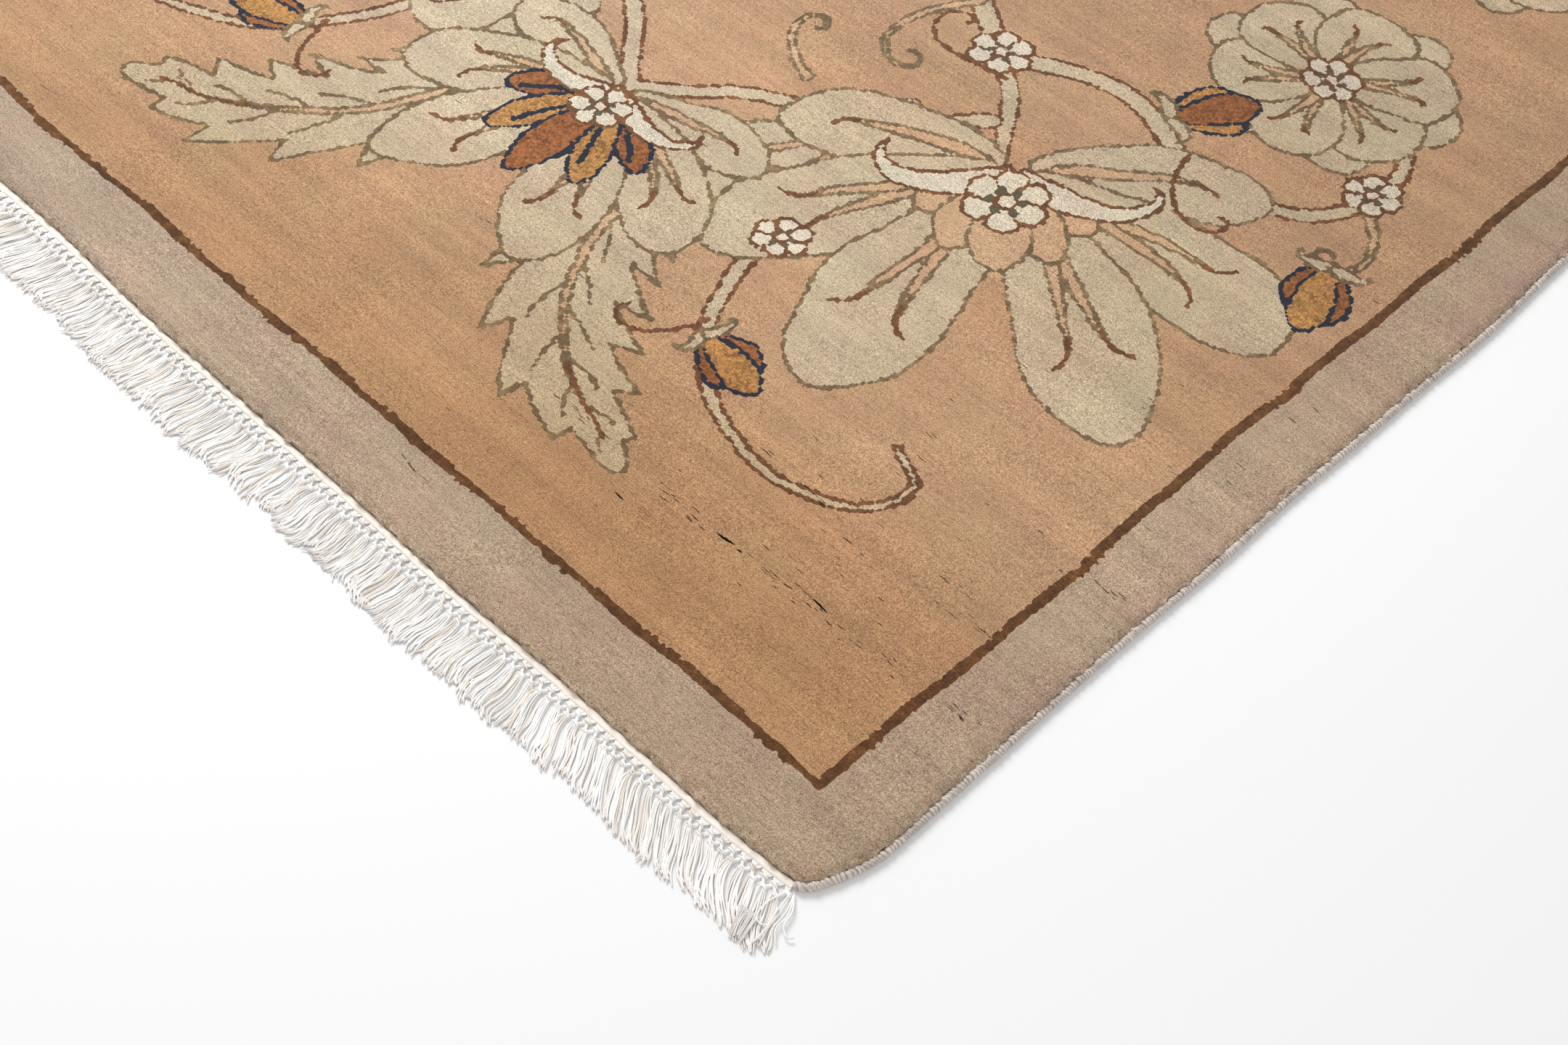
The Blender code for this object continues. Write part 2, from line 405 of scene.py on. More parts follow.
class Chart:
    """One yarn for each knot. Motifs are drawn in one quarter and mirrored into the rest."""

    def __init__(self):
        self.columns = 2 * round(PILE_WIDTH / KNOT / 2) + SPARE_KNOTS
        self.rows = 2 * round(PILE_LENGTH / KNOT / 2) + SPARE_KNOTS
        x = (np.arange(self.columns) + 0.5 - self.columns / 2) * KNOT
        y = (np.arange(self.rows) + 0.5 - self.rows / 2) * KNOT
        self.x, self.y = (grid.ravel() for grid in np.meshgrid(x, y))
        # A knotter's freehand wobble, which also makes the four quarters differ a little
        turns = (2 * np.pi * self.x, 2 * np.pi * self.y)
        folded_x = np.abs(self.x + plane_waves(FREEHAND_X, *turns))
        folded_y = np.abs(self.y + plane_waves(FREEHAND_Y, *turns))
        self.folded = np.stack([folded_x, folded_y], 1)
        self.yarn = np.full(self.rows * self.columns, YARN["field"], np.uint8)
        self.rag = rng.normal(0, RAG, self.yarn.size)

    def near(self, line, margin):
        inside = (self.folded > line.min(0) - margin) & (self.folded < line.max(0) + margin)
        return np.nonzero(inside.all(1))[0]

    def measure(self, knots, line, closed=False):
        """Each knot's distance from a line, the share of the line passed there, and insideness."""
        starts = line if closed else line[:-1]
        stops = np.roll(line, -1, 0) if closed else line[1:]
        x, y = self.folded[knots].T
        best = np.full(len(knots), np.inf)
        share = np.zeros(len(knots))
        inside = np.zeros(len(knots), bool)
        lengths = np.hypot(*(stops - starts).T)
        passed = np.concatenate([[0.0], np.cumsum(lengths)])
        for k, (start, stop) in enumerate(zip(starts, stops)):
            dx, dy = stop - start
            along = ((x - start[0]) * dx + (y - start[1]) * dy) / (dx * dx + dy * dy + 1e-18)
            along = np.clip(along, 0, 1)
            distance = np.hypot(x - start[0] - along * dx, y - start[1] - along * dy)
            nearer = distance < best
            best[nearer] = distance[nearer]
            share[nearer] = (passed[k] + along[nearer] * lengths[k]) / passed[-1]
            if closed and dy != 0:
                crossed = (start[1] > y) != (stop[1] > y)
                inside ^= crossed & (x < start[0] + (y - start[1]) * dx / dy)
        return best, share, inside

    def tie(self, knots, signed, yarn, edge, edge_width=OUTLINE_WIDTH):
        """Ties the knots where signed is below 0, and those about 0 in the yarn of the edge."""
        signed = signed + self.rag[knots]
        self.yarn[knots[signed < 0]] = YARN[yarn]
        if edge:
            self.yarn[knots[np.abs(signed) < edge_width / 2]] = YARN[edge]

    def fill(self, outline, yarn, edge="line", edge_width=OUTLINE_WIDTH):
        knots = self.near(outline, REACH)
        distance, _, inside = self.measure(knots, outline, closed=True)
        self.tie(knots, np.where(inside, -distance, distance), yarn, edge, edge_width)

    def band(self, line, width, yarn, edge=None, taper=0.0):
        knots = self.near(line, width / 2 + REACH)
        distance, share, _ = self.measure(knots, line)
        self.tie(knots, distance - width * (1 - taper * share) / 2, yarn, edge)

    # Motifs -------------------------------------------------------
    def vein(self, rib, width):
        """A strip that swells, tapers and ends in a thin dark hook."""
        def half_width(t):
            swell = 0.45 + 0.55 * np.sin(np.pi / 2 * np.clip(t / 0.35, 0, 1))
            return width / 2 * swell * np.clip(1 - (t / 0.92) ** 1.9, 0, 1) ** 0.9 + 0.0004
        self.fill(blade(rib, half_width, VEIN_STEPS), "vein")
        self.band(resample(rib, VEIN_STEPS)[HOOK_STEP:], HOOK_WIDTH, "umber")

    def petal(self, base, angle, length, width, bend=0.0, veins=1, yarn="petal", edge="line",
              phase=0.0, strip=0.0):
        self.fill(petal_outline(bent_line(base, angle, length, bend), width, phase), yarn, edge)
        spread = width / length
        for k in range(veins):
            side = 2 * k - (veins - 1)  # -1 and 1 for a pair, 0 for one
            share = VEIN_LENGTH - VEIN_LOSS * abs(side)
            reach = bent_line(towards(base, angle, length * 0.06), angle + side * spread * 0.22,
                              length * share * (1 - HOOK_SHARE), 0.6 * bend + side * spread * 0.5)
            heading = math.atan2(*(reach[-1] - reach[-2])[::-1])
            turn = math.copysign(HOOK_TURN, side if side else bend + 0.01)
            hook = bent_line(reach[-1], heading, length * share * HOOK_SHARE, turn)
            self.vein(np.vstack([reach, hook[1:]]), strip or width * VEIN_WIDTH)

    def saz_leaf(self, rib, width, teeth):
        """A long leaf whose edge is cut into hooked teeth that point to its tip."""
        count = teeth * LEAF_TOOTH_STEPS + 1
        t = np.linspace(0, 1, count)
        middle = resample(rib, count)
        out = line_normals(middle)
        along = directions(middle)
        body = width * np.sin(np.pi * np.clip(t * 0.94 + 0.05, 0, 1)) ** 0.75
        sides = []
        for side, shift in LEAF_SIDES:
            place = (t * teeth + shift) % 1.0
            reach = body * (1 - LEAF_TOOTH_DEPTH * (1 - place**1.4) * (t > LEAF_FOOT))
            hook = along * (body * LEAF_TOOTH_HOOK * place**2)[:, None]
            sides.append(side * out * reach[:, None] + hook)
        self.fill(mirrored(middle, sides[0], -sides[1]), "petal")
        for side, shift in LEAF_SIDES:
            for k in range(1, teeth):
                i = int((k - shift + 0.25) / teeth * (count - 1))
                heading = math.atan2(along[i, 1], along[i, 0]) + side * LEAF_RIB_LEAN
                rib = bent_line(middle[i], heading, body[i] * LEAF_RIB_LENGTH, -side * LEAF_RIB_BEND)
                self.band(rib, OUTLINE_WIDTH, "line")
        self.vein(middle[: int(count * LEAF_STRIP_END)], LEAF_STRIP)

    def floret(self, place, radius, phase=0.0):
        """A small pale flower with a round eye, and olive dots between its petals."""
        ring = unit(np.linspace(0, 2 * np.pi, FLORET_EYE_POINTS, endpoint=False))
        angles = phase + 2 * np.pi * np.arange(FLORET_PETALS) / FLORET_PETALS
        for angle in angles:
            rib = np.array([towards(place, angle, radius * 0.18), towards(place, angle, radius)])
            self.fill(blade(rib, petal_profile(radius * 0.36, *FLORET_SHAPE)), "floret", "umber")
        for angle in angles + math.pi / FLORET_PETALS:
            self.fill(towards(place, angle, radius * 0.36) + ring * radius * 0.13, "olive", None)
        self.fill(place + ring * radius * 0.24, "floret", "umber", OUTLINE_WIDTH * 0.9)

    def rosette(self, place, radius, petals, phase):
        """A flower seen from above: petals without veins show between those with two."""
        full_width = radius * 0.36 * 6 / petals
        for turn, start, length, width, bend, veins, step in ROSETTE_ROWS:
            for k in range(petals):
                angle = phase + 2 * math.pi * (k + turn) / petals
                base = towards(place, angle, radius * start)
                self.petal(base, angle, radius * length, full_width * width, bend, veins,
                           phase=k * step, strip=radius * 0.075)
        self.floret(place, radius * 0.24, phase)

    def sepals(self, base, angle, spread, length, width, bend, turns, yarn, edge):
        for side in (1, -1):
            rib = curled_line(base, angle + side * spread, length, side * bend, side * turns)
            self.fill(blade(rib, petal_profile(width, *SEPAL_SHAPE)), yarn, edge)

    def palmette(self, base, angle, size, heart="pale"):
        """A lotus seen from the side: spread petals, a small heart and two curled sepals."""
        for spread, length, width, bend, veins in PALMETTE_ROWS:
            for side in (1, -1):
                start = towards(base, angle + side * spread, size * 0.05)
                self.petal(start, angle + side * spread, size * length, size * width, side * bend, veins,
                           phase=spread * 3 + side, strip=size * 0.052)
        self.heart(base, angle, size, heart)
        self.sepals(base, angle, 1.0, size * 0.75, size * 0.05, 0.9, 0.35, "floret", "umber")
        self.floret(towards(base, angle, size * 0.12), size * 0.135, angle)

    def heart(self, base, angle, size, kind):
        edge, rows = HEARTS[kind]
        for spread, length, width, yarn in rows:
            for side in (1, -1) if spread else (1,):
                bend = -0.2 * side if spread else 0.0
                self.petal(base, angle + side * spread, size * length, size * width, bend, 0, yarn, edge)
                if kind == "fiery" and spread:
                    shade = angle + side * (spread - 0.08)
                    start = towards(base, shade, size * 0.15)
                    line = bent_line(start, shade, size * length * 0.55, bend)
                    self.band(line, OUTLINE_WIDTH * 1.6, "navy")

    def bud(self, base, angle, size, yarn="gold", side_yarn="rust"):
        width = size * 0.2
        for side in (1, -1):
            lean = side * 0.35
            self.petal(base, angle + lean, size * 0.8, width, -0.3 * side, 0, side_yarn, "navy")
        self.petal(base, angle, size, width, 0.0, 0, yarn, "navy")
        self.sepals(base, angle, 1.1, size * 0.6, size * 0.07, 0.8, 0.25, "petal", "line")

    def stem(self, points, width, taper=0.5):
        self.band(smooth_line(points), width, "petal", "umber", taper)

    def tendril(self, *curl):
        self.band(curled_line(*curl), 0.0060, "umber", taper=0.35)

    def scroll(self, *curl):
        self.band(curled_line(*curl), 0.011, "vein", "line", 0.75)


def draw_field(chart):
    """The flowers of one quarter: x across from the middle, y along from the middle."""
    deg = math.radians
    leaf = [(0.17, 0.62), (0.12, 0.74), (0.13, 0.88), (0.22, 0.99), (0.35, 1.045)]
    chart.saz_leaf(smooth_line(leaf), 0.085, 9)
    chart.stem([(0.20, 0.52), (0.24, 0.66), (0.25, 0.80), (0.31, 0.91), (0.42, 0.955), (0.51, 0.93),
                (0.535, 0.875), (0.495, 0.85)], 0.022, 0.72)
    chart.stem([(0.0, 0.25), (0.07, 0.30), (0.16, 0.36), (0.25, 0.43), (0.31, 0.51)], 0.030)
    chart.stem([(0.20, 0.40), (0.33, 0.35), (0.45, 0.385), (0.555, 0.36), (0.59, 0.26), (0.54, 0.17),
                (0.47, 0.17)], 0.024)
    chart.stem([(0.27, 0.48), (0.20, 0.56), (0.10, 0.61), (0.0, 0.70)], 0.020, 0.2)
    chart.palmette((0.335, 0.515), deg(58), 0.325)
    chart.rosette((0.455, 0.175), 0.135, 6, deg(20))
    chart.palmette((0.0, 0.715), deg(90), 0.235, "fiery")
    chart.rosette((0.0, 0.0), 0.27, 8, deg(22.5))
    chart.scroll((0.585, 0.30), deg(40), 0.24, 1.2, 0.9)
    chart.scroll((0.14, 0.345), deg(120), 0.30, -0.9, -0.9)
    chart.scroll((0.10, 0.56), deg(200), 0.20, 0.9, 0.8)
    chart.tendril((0.43, 0.375), deg(75), 0.22, -1.2, -0.6)
    chart.tendril((0.24, 0.42), deg(165), 0.24, 1.0, 0.7)
    chart.tendril((0.275, 0.865), deg(105), 0.16, 0.9, 0.5)
    chart.bud((0.615, 0.395), deg(75), 0.095)
    chart.bud((0.38, 0.345), deg(-60), 0.10, "rust", "gold")
    chart.bud((0.285, 0.880), deg(15), 0.085)
    for place, radius in (((0.21, 0.392), 0.034), ((0.585, 0.285), 0.031), ((0.245, 0.74), 0.028)):
        chart.floret(place, radius)


def draw_border(chart):
    """The plain border and the thin guard line inside it, which is two to four knots wide."""
    to_side = np.abs(chart.x) - KNOT * round((PILE_WIDTH / 2 - SIDE_BORDER) / KNOT)
    to_end = np.abs(chart.y) - KNOT * round((PILE_LENGTH / 2 - END_BORDER) / KNOT)
    distance = np.maximum(to_side, to_end)
    ragged = plane_waves(GUARD_WAVES, chart.x, chart.y) + chart.rag / RAG * GUARD_RAG
    inner_limit = np.where(to_side > to_end, GUARD_INNER_SIDE, GUARD_INNER_END)
    outer = GUARD_KNOTS * KNOT / 2 + (ragged > GUARD_OUTER) * KNOT
    inner = GUARD_KNOTS * KNOT / 2 + (ragged < inner_limit) * KNOT
    chart.yarn[distance > 0] = YARN["border"]
    chart.yarn[(distance > -inner) & (distance < outer)] = YARN["guard"]


def knot_chart():
    chart = Chart()
    draw_field(chart)
    draw_border(chart)
    return chart.yarn.reshape(chart.rows, chart.columns)


# ------------------------------------------------------------------ the pile's mesh
EDGE_SOFTNESS = 0.34  # how far a corner between two yarns moves towards its neighbours' middle
EDGE_JITTER = 0.00048
CHART_SWAYS = (  # how far the rows and columns waver (m), rad a metre along X and Y, phase (rad)
    (0.00150, 3.0, 7.0, 0.4),
    (0.00110, 19.0, -13.0, 2.2),
    (0.00080, 41.0, 45.0, 5.1),
    (0.00035, 131.0, -109.0, 3.3),
)
RIM_STEP = 0.0038
RIM_RINGS = (  # offset (m), height (m), how ragged it is (m): the pile leans over the edge a little
    (-0.0095, 0.0106, 0.00010),
    (-0.0050, 0.0103, 0.00040),
    (-0.0018, 0.0090, 0.00080),
    (0.0003, 0.0072, 0.00090),
    (0.0005, 0.0050, 0.00080),
    (0.0000, 0.0025, 0.00030),
    (0.0000, 0.0000, 0.00000),
)
TOP_RINGS = 2  # gaps between rings that are still the border's top
RIM_SCALLOPS = (  # amplitude (m), whole waves round the outline, phase (rad)
    (0.00050, 311, 0.0),
    (0.00045, 523, 1.7),
)
INNER_RINGS = (  # every so many rim points, how far along from them (m), offset (m)
    (2, 0.0, -0.015),
    (4, RIM_STEP, -0.024),
)
SURFACE_STEP = 0.022
SURFACE_JITTER = 0.3  # share of the step
SURFACE_MARGIN = 0.03
CLEAR_CELL = 0.006
CELL_MARGIN = 3
SURFACE_LEVEL = PILE_THICKNESS - 0.0004
SWELLS = (  # height (m), rad a metre along X and Y, phase (rad)
    (0.00035, 9.0, 5.0, 0.3),
    (0.00025, 17.0, 23.0, 1.9),
    (0.00020, 41.0, -31.0, 4.4),
)
SLITS = (  # middle x and y (m), length (m), width (m): where the pile has parted between two rows
    (0.4646, -1.0291, 0.0210, 0.0026),
    (0.4815, -1.0298, 0.0065, 0.0018),
    (0.4209, -0.9387, 0.0180, 0.0010),
    (0.4685, -0.9415, 0.0146, 0.0011),
    (0.5655, -1.0224, 0.0220, 0.0019),
    (0.5485, -1.0353, 0.0060, 0.0010),
    (0.3992, -1.0371, 0.0120, 0.0009),
    (0.3720, -1.0620, 0.0130, 0.0017),
    (0.2310, -1.1673, 0.0140, 0.0009),
    (-0.2900, 1.0300, 0.0170, 0.0013),
    (0.5200, 0.9900, 0.0120, 0.0011),
    (-0.5100, -0.9600, 0.0150, 0.0012),
)
SMALL_SLITS = (  # from x, to x, y and stray from it (m), how many
    (0.385, 0.450, -1.031, 0.006, 8),
    (0.485, 0.525, -1.028, 0.003, 6),
    (0.530, 0.650, -1.023, 0.006, 12),
    (0.455, 0.500, -0.945, 0.003, 5),
    (0.600, 0.650, -0.926, 0.004, 6),
    (0.700, 0.732, -1.018, 0.006, 7),
    (0.700, 0.732, -0.837, 0.005, 6),
    (0.668, 0.690, -0.948, 0.004, 4),
    (0.205, 0.250, -1.167, 0.003, 5),
    (0.250, 0.325, -1.024, 0.006, 8),
    (0.380, 0.660, -0.985, 0.070, 30),
    (0.480, 0.720, -0.700, 0.160, 20),
    (-0.720, 0.720, 0.000, 1.140, 120),
)
SMALL_SLIT_LENGTHS = (0.004, 0.013)
SMALL_SLIT_WIDTHS = (0.0006, 0.0011)
SLIT_POINTS = 9
SLIT_SWAY = 0.035  # share of the length
SLIT_ZIGZAG = 0.0002
SLIT_DEPTH = 0.0045
SHARP_ANGLE = math.radians(50)
CUT_TOLERANCE = 1e-7


def all_slits():
    """Middle x and y, length and width of every place where the pile has parted."""
    table = list(SLITS)
    for first, last, row, stray, count in SMALL_SLITS:
        for _ in range(count):
            x = rng.uniform(first, last)
            y = row + rng.uniform(-stray, stray)
            table.append((x, y, rng.uniform(*SMALL_SLIT_LENGTHS), rng.uniform(*SMALL_SLIT_WIDTHS)))
    return table


def chart_sway(places):
    """How far the weaving wavers at each place: rows along Y, columns along X."""
    shift = np.zeros_like(places)
    for size, along_x, along_y, phase in CHART_SWAYS:
        turn = along_x * places[:, 0] + along_y * places[:, 1] + phase
        shift += size * np.stack([np.sin(turn), np.cos(turn * 1.3 + 1)], 1)
    return shift


def yarn_edges(yarn):
    """The corners and edges of the knots between different yarns, softened into the drawn line."""
    rows, columns = yarn.shape
    width = columns + 1  # corners in a row
    edges = []
    for axis, step in ((0, 1), (1, width)):  # level edges, then upright ones
        row, column = np.nonzero(np.diff(yarn.astype(int), axis=axis))
        first = (row + 1 - axis) * width + column + axis
        edges.append(np.stack([first, first + step], 1))
    corners, edges = np.unique(np.vstack(edges), return_inverse=True)
    edges = edges.reshape(-1, 2)
    places = np.stack([corners % width - columns / 2, corners // width - rows / 2], 1) * KNOT
    total = np.zeros_like(places)
    np.add.at(total, edges, places[edges[:, ::-1]])
    count = np.bincount(edges.ravel())[:, None]
    softened = places + (total / count - places) * EDGE_SOFTNESS
    places = np.where(count == 2, softened, places)
    return places + chart_sway(places) + rng.normal(0, EDGE_JITTER, places.shape), edges


def surface_points(edge_places):
    """Loose points that hold the swells, clear of the yarn edges."""
    half = np.array([PILE_WIDTH, PILE_LENGTH]) / 2
    axes = [np.arange(-reach, reach, SURFACE_STEP) for reach in half - SURFACE_MARGIN]
    points = np.stack(np.meshgrid(*axes), -1).reshape(-1, 2)
    points = points + rng.uniform(-SURFACE_JITTER, SURFACE_JITTER, points.shape) * SURFACE_STEP

    def cells(places):
        return ((places + half) / CLEAR_CELL).astype(int) + CELL_MARGIN

    taken = np.zeros(cells(half) + CELL_MARGIN + 2, bool)
    x, y = cells(edge_places).T
    for dx in (-1, 0, 1):
        for dy in (-1, 0, 1):
            taken[x + dx, y + dy] = True
    return points[~taken[tuple(cells(points).T)]]


def slit_lines():
    """Each slit's lens-shaped mouth and the line along its bottom."""
    share = np.linspace(0, 1, SLIT_POINTS)
    zigzag = -SLIT_ZIGZAG * alternating(SLIT_POINTS)
    mouths = []
    bottoms = []
    for x, y, length, width in all_slits():
        sway = SLIT_SWAY * length * np.sin(share * 4 + x * 90) + zigzag
        line = np.stack([x + (share - 0.5) * length, y + sway], 1)
        half = width / 2 * np.sin(np.pi * share[1:-1]) ** 0.7
        side = np.stack([0 * half, half], 1)
        bottom = line[1:-1]
        mouths.append(np.vstack([line[:1], bottom + side, line[-1:], (bottom - side)[::-1]]))
        bottoms.append(bottom)
    return mouths, bottoms


def regions(triangles, walls, point_count):
    """Numbers the patches of triangles that no wall edge divides."""
    def codes(edges):
        edges = np.sort(edges, axis=1)
        return edges[:, 0] * point_count + edges[:, 1]

    sides = codes(np.concatenate([triangles[:, [0, 1]], triangles[:, [1, 2]], triangles[:, [2, 0]]]))
    order = np.argsort(sides, kind="stable")
    sides = sides[order]
    owner = np.tile(np.arange(len(triangles)), 3)[order]
    pair = np.nonzero((sides[1:] == sides[:-1]) & ~np.isin(sides[1:], codes(walls)))[0]
    first = owner[pair]
    second = owner[pair + 1]
    label = np.arange(len(triangles))
    while not np.array_equal(label[first], label[second]):
        lower = np.minimum(label[first], label[second])
        np.minimum.at(label, first, lower)
        np.minimum.at(label, second, lower)
        label = label[label]
    return np.unique(label, return_inverse=True)[1]


def triangle_yarns(places, triangles, region, yarn):
    """The yarn of each patch, by the knots under its triangles, and so of each triangle."""
    corners = places[triangles]
    middle = corners.mean(1)
    middle = (middle - chart_sway(middle)) / KNOT
    first = corners[:, 1] - corners[:, 0]
    second = corners[:, 2] - corners[:, 0]
    area = np.abs(first[:, 0] * second[:, 1] - first[:, 1] * second[:, 0])
    row, column = (np.clip((middle[:, 1 - axis] + size / 2).astype(int), 0, size - 1)
                   for axis, size in enumerate(yarn.shape))
    votes = np.zeros((region.max() + 1, len(YARNS)))
    np.add.at(votes, (region, yarn[row, column]), area)
    return votes.argmax(1)[region]


def chain(first, count, closed):
    """The edges between count points that are numbered from first."""
    index = np.arange(count)
    edges = np.stack([first + index, first + (index + 1) % count], 1)
    return edges if closed else edges[:-1]


def cut_top(stations, yarn):
    """The pile's top, cut into its yarns: vertices, triangles, the yarn of each, and the rim."""
    rim = edge_points(stations, RIM_RINGS[0][0])
    drawn, drawn_edges = yarn_edges(yarn)
    mouths, bottoms = slit_lines()
    groups = [rim, drawn, *mouths, *bottoms]
    starts = np.cumsum([0] + [len(group) for group in groups])
    first_bottom = 2 + len(mouths)
    edges = [chain(0, len(rim), True), drawn_edges + len(rim)]
    for k in range(2, len(groups)):
        edges.append(chain(starts[k], len(groups[k]), k < first_bottom))
    for stride, shift, offset in INNER_RINGS:
        groups.append(edge_points(stations[::stride] + shift, offset))
    groups.append(surface_points(np.vstack([drawn, *mouths])))
    points = [Vector(place) for place in np.vstack(groups)]
    cut = delaunay_2d_cdt(points, np.vstack(edges).tolist(), [], 1, CUT_TOLERANCE)
    places = np.array([tuple(place) for place in cut[0]])
    triangles = np.array(cut[2])
    origin = np.array([sources[0] if sources else -1 for sources in cut[3]])
    walls = np.array([edge for edge, sources in zip(cut[1], cut[4]) if sources])

    kinds = triangle_yarns(places, triangles, regions(triangles, walls, len(places)), yarn)
    sunk = (origin >= starts[first_bottom]) & (origin < starts[first_bottom + len(bottoms)])
    deep = sunk & (origin < starts[first_bottom + len(SLITS)])
    # Painted shade: triangles round the sunk bottoms of the slits and partings take the dark colours of
    # these.
    kinds[sunk[triangles].any(1)] = YARN["parting_shade"]
    kinds[deep[triangles].any(1)] = YARN["slit"]
    heights = SURFACE_LEVEL + plane_waves(SWELLS, *places.T) - SLIT_DEPTH * sunk
    at_rim = (origin >= 0) & (origin < len(rim))
    ring = np.empty(len(rim), int)
    ring[origin[at_rim]] = np.nonzero(at_rim)[0]
    return np.column_stack([places, heights]), triangles, kinds, ring


def make_pile(yarn):
    """The pile: a top cut into its yarns, a rounded ragged rim and a flat back."""
    stations = np.linspace(0, PERIMETER, round(PERIMETER / RIM_STEP), endpoint=False)
    count = len(stations)
    vertices, triangles, kinds, first_ring = cut_top(stations, yarn)
    rings = [first_ring]
    for offset, height, rag in RIM_RINGS[1:]:
        scallop = outline_waves(RIM_SCALLOPS, stations) * (rag > 0)
        points = edge_points(stations, offset + scallop + rng.normal(0, 1, count) * rag)
        level = height + rng.normal(0, 1, count) * rag
        rings.append(len(vertices) + np.arange(count))
        vertices = np.vstack([vertices, np.column_stack([points, level])])
    rim = grid_faces(np.array(rings)).tolist()
    back = rings[-1][::-1].tolist()
    faces = triangles.tolist() + rim + [back]
    # The side faces take the wall colour, painted light that lifts the shade on the pile's sides; the
    # top rings keep the border's.
    kinds = np.concatenate([kinds, np.full(len(rim) + 1, YARN["wall"])])
    kinds[len(triangles):len(triangles) + TOP_RINGS * count] = YARN["border"]

    mesh = new_mesh("pile", vertices, faces, pile_material(), back_material())
    colours = np.array([[*linear(colour), mottle] for colour, mottle in YARNS.values()])
    add_colours(mesh, "yarn", "CORNER", colours[np.repeat(kinds, [len(face) for face in faces])])
    mesh.polygons[len(faces) - 1].material_index = 1
    mesh.set_sharp_from_angle(angle=SHARP_ANGLE)
    return add_piece("pile", mesh, "pile", "pile_body")


# ------------------------------------------------------------------ meshes and pieces
STRAND_SIDES = 4  # of a strand, and of the yarn round a knot


def new_mesh(name, points, faces, *materials):
    mesh = bpy.data.meshes.new(name)
    mesh.from_pydata(points.tolist(), [], faces)
    for material in materials:
        mesh.materials.append(material)
    mesh.shade_smooth()
    return mesh


def add_colours(mesh, name, domain, colours):
    attribute = mesh.color_attributes.new(name, "FLOAT_COLOR", domain)
    attribute.data.foreach_set("color", colours.ravel().astype(np.float32))


def add_tone(mesh, tone, along):
    """A strand's own shade, and how far along it is, for the material."""
    add_colours(mesh, "tone", "POINT", np.stack([tone, along, 0 * tone, 0 * tone + 1], 1))


def add_piece(name, mesh, slot, *nodes):
    mesh.validate()
    piece = bpy.data.objects.new(name, mesh)
    bpy.context.scene.collection.objects.link(piece)
    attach(piece, "root")
    if nodes:
        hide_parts(*nodes)
    return piece


def alternating(count):
    return np.where(np.arange(count) % 2, 1.0, -1.0)


def raised(stations, offset, height):
    """Points along the outline, at an offset and a height."""
    stations, offset, height = np.broadcast_arrays(stations, offset, height)
    return np.concatenate([edge_points(stations, offset), height[..., None]], -1)


def grid_faces(grid, close_rows=False):
    """Quads between the numbers of a grid, or of several, each row of which is a closed ring."""
    after = np.roll(grid, -1, -2)
    corners = np.stack([grid, after, np.roll(after, -1, -1), np.roll(grid, -1, -1)], -1)
    return (corners if close_rows else corners[..., :-1, :, :]).reshape(-1, 4)


def tube_arrays(paths, radii, reference, closed):
    """Points and faces of tubes along paths (n, points, 3). No path follows the reference."""
    along = np.roll(paths, -1, 1) - np.roll(paths, 1, 1) if closed else np.gradient(paths, axis=1)
    along /= np.linalg.norm(along, axis=-1, keepdims=True)
    side = np.cross(along, reference)
    side /= np.linalg.norm(side, axis=-1, keepdims=True)
    up = np.cross(side, along)
    angle = 2 * np.pi * np.arange(STRAND_SIDES)[:, None] / STRAND_SIDES
    ring = side[:, :, None] * np.cos(angle) + up[:, :, None] * np.sin(angle)
    points = paths[:, :, None] + ring * radii[:, :, None, None]
    grid = np.arange(points.size // 3).reshape(points.shape[:3])
    faces = grid_faces(grid, closed)
    if not closed:
        faces = np.vstack([faces, grid[:, -1], grid[:, 0, ::-1]])
    return points.reshape(-1, 3), faces


def tube_mesh(name, paths, radii, reference, along, material, random, closed=False):
    """Tubes, each in its own shade of the yarn. along says how far along its points are."""
    points, faces = tube_arrays(paths, radii, reference, closed)
    mesh = new_mesh(name, points, faces.tolist(), material)
    tone = np.repeat(random.uniform(0, 1, len(paths)), len(points) // len(paths))
    along = np.broadcast_to(along, paths.shape[:2])
    add_tone(mesh, tone, np.repeat(along.ravel(), STRAND_SIDES))
    return mesh


def strip_mesh(name, points, material):
    """A closed section swept along: points is (sections, section points, 3), capped at both ends."""
    grid = np.arange(points.size // 3).reshape(points.shape[:2])
    faces = grid_faces(grid).tolist() + [grid[0, ::-1].tolist(), grid[-1].tolist()]
    return new_mesh(name, points.reshape(-1, 3), faces, material)


# ------------------------------------------------------------------ side cords and headings
WRAP_PITCH = 0.0034
WRAP_SLANT = 2  # pitches that a wrap moves along in one turn
WRAP_STEPS = 6
WRAP_RELIEF = 0.0010
WRAP_LOOSENESS = 0.00025
CORD_TUCK = 0.0010  # how far the cord is pressed under the leaning pile
CORD_CORE = SELVEDGE_DIAMETER / 2 - 0.0009
CORD_BEAD = 0.0004
CORD_BEADS = 870.0  # rad a metre: the cord is pulled tight every 7 mm or so
CORD_SIDES = 10
CORD_SEED = 5
CORD_SWELLS = ((0.0002, 37.0, 0.0),)  # height (m), rad a metre along the cord, phase (rad)
WRAP_WOBBLES = (  # pitches, rad a metre along the cord and for each rad round it, phase (rad)
    (0.40, 61.0, 0.0, 0.0),
    (0.30, 143.0, 1.0, 0.0),
    (0.15, 390.0, 0.0, 0.0),
)
BEAD_WOBBLES = (  # rad, rad a metre along the cord, phase (rad)
    (1.5, 57.0, 0.0),
    (1.1, 131.0, 0.0),
)


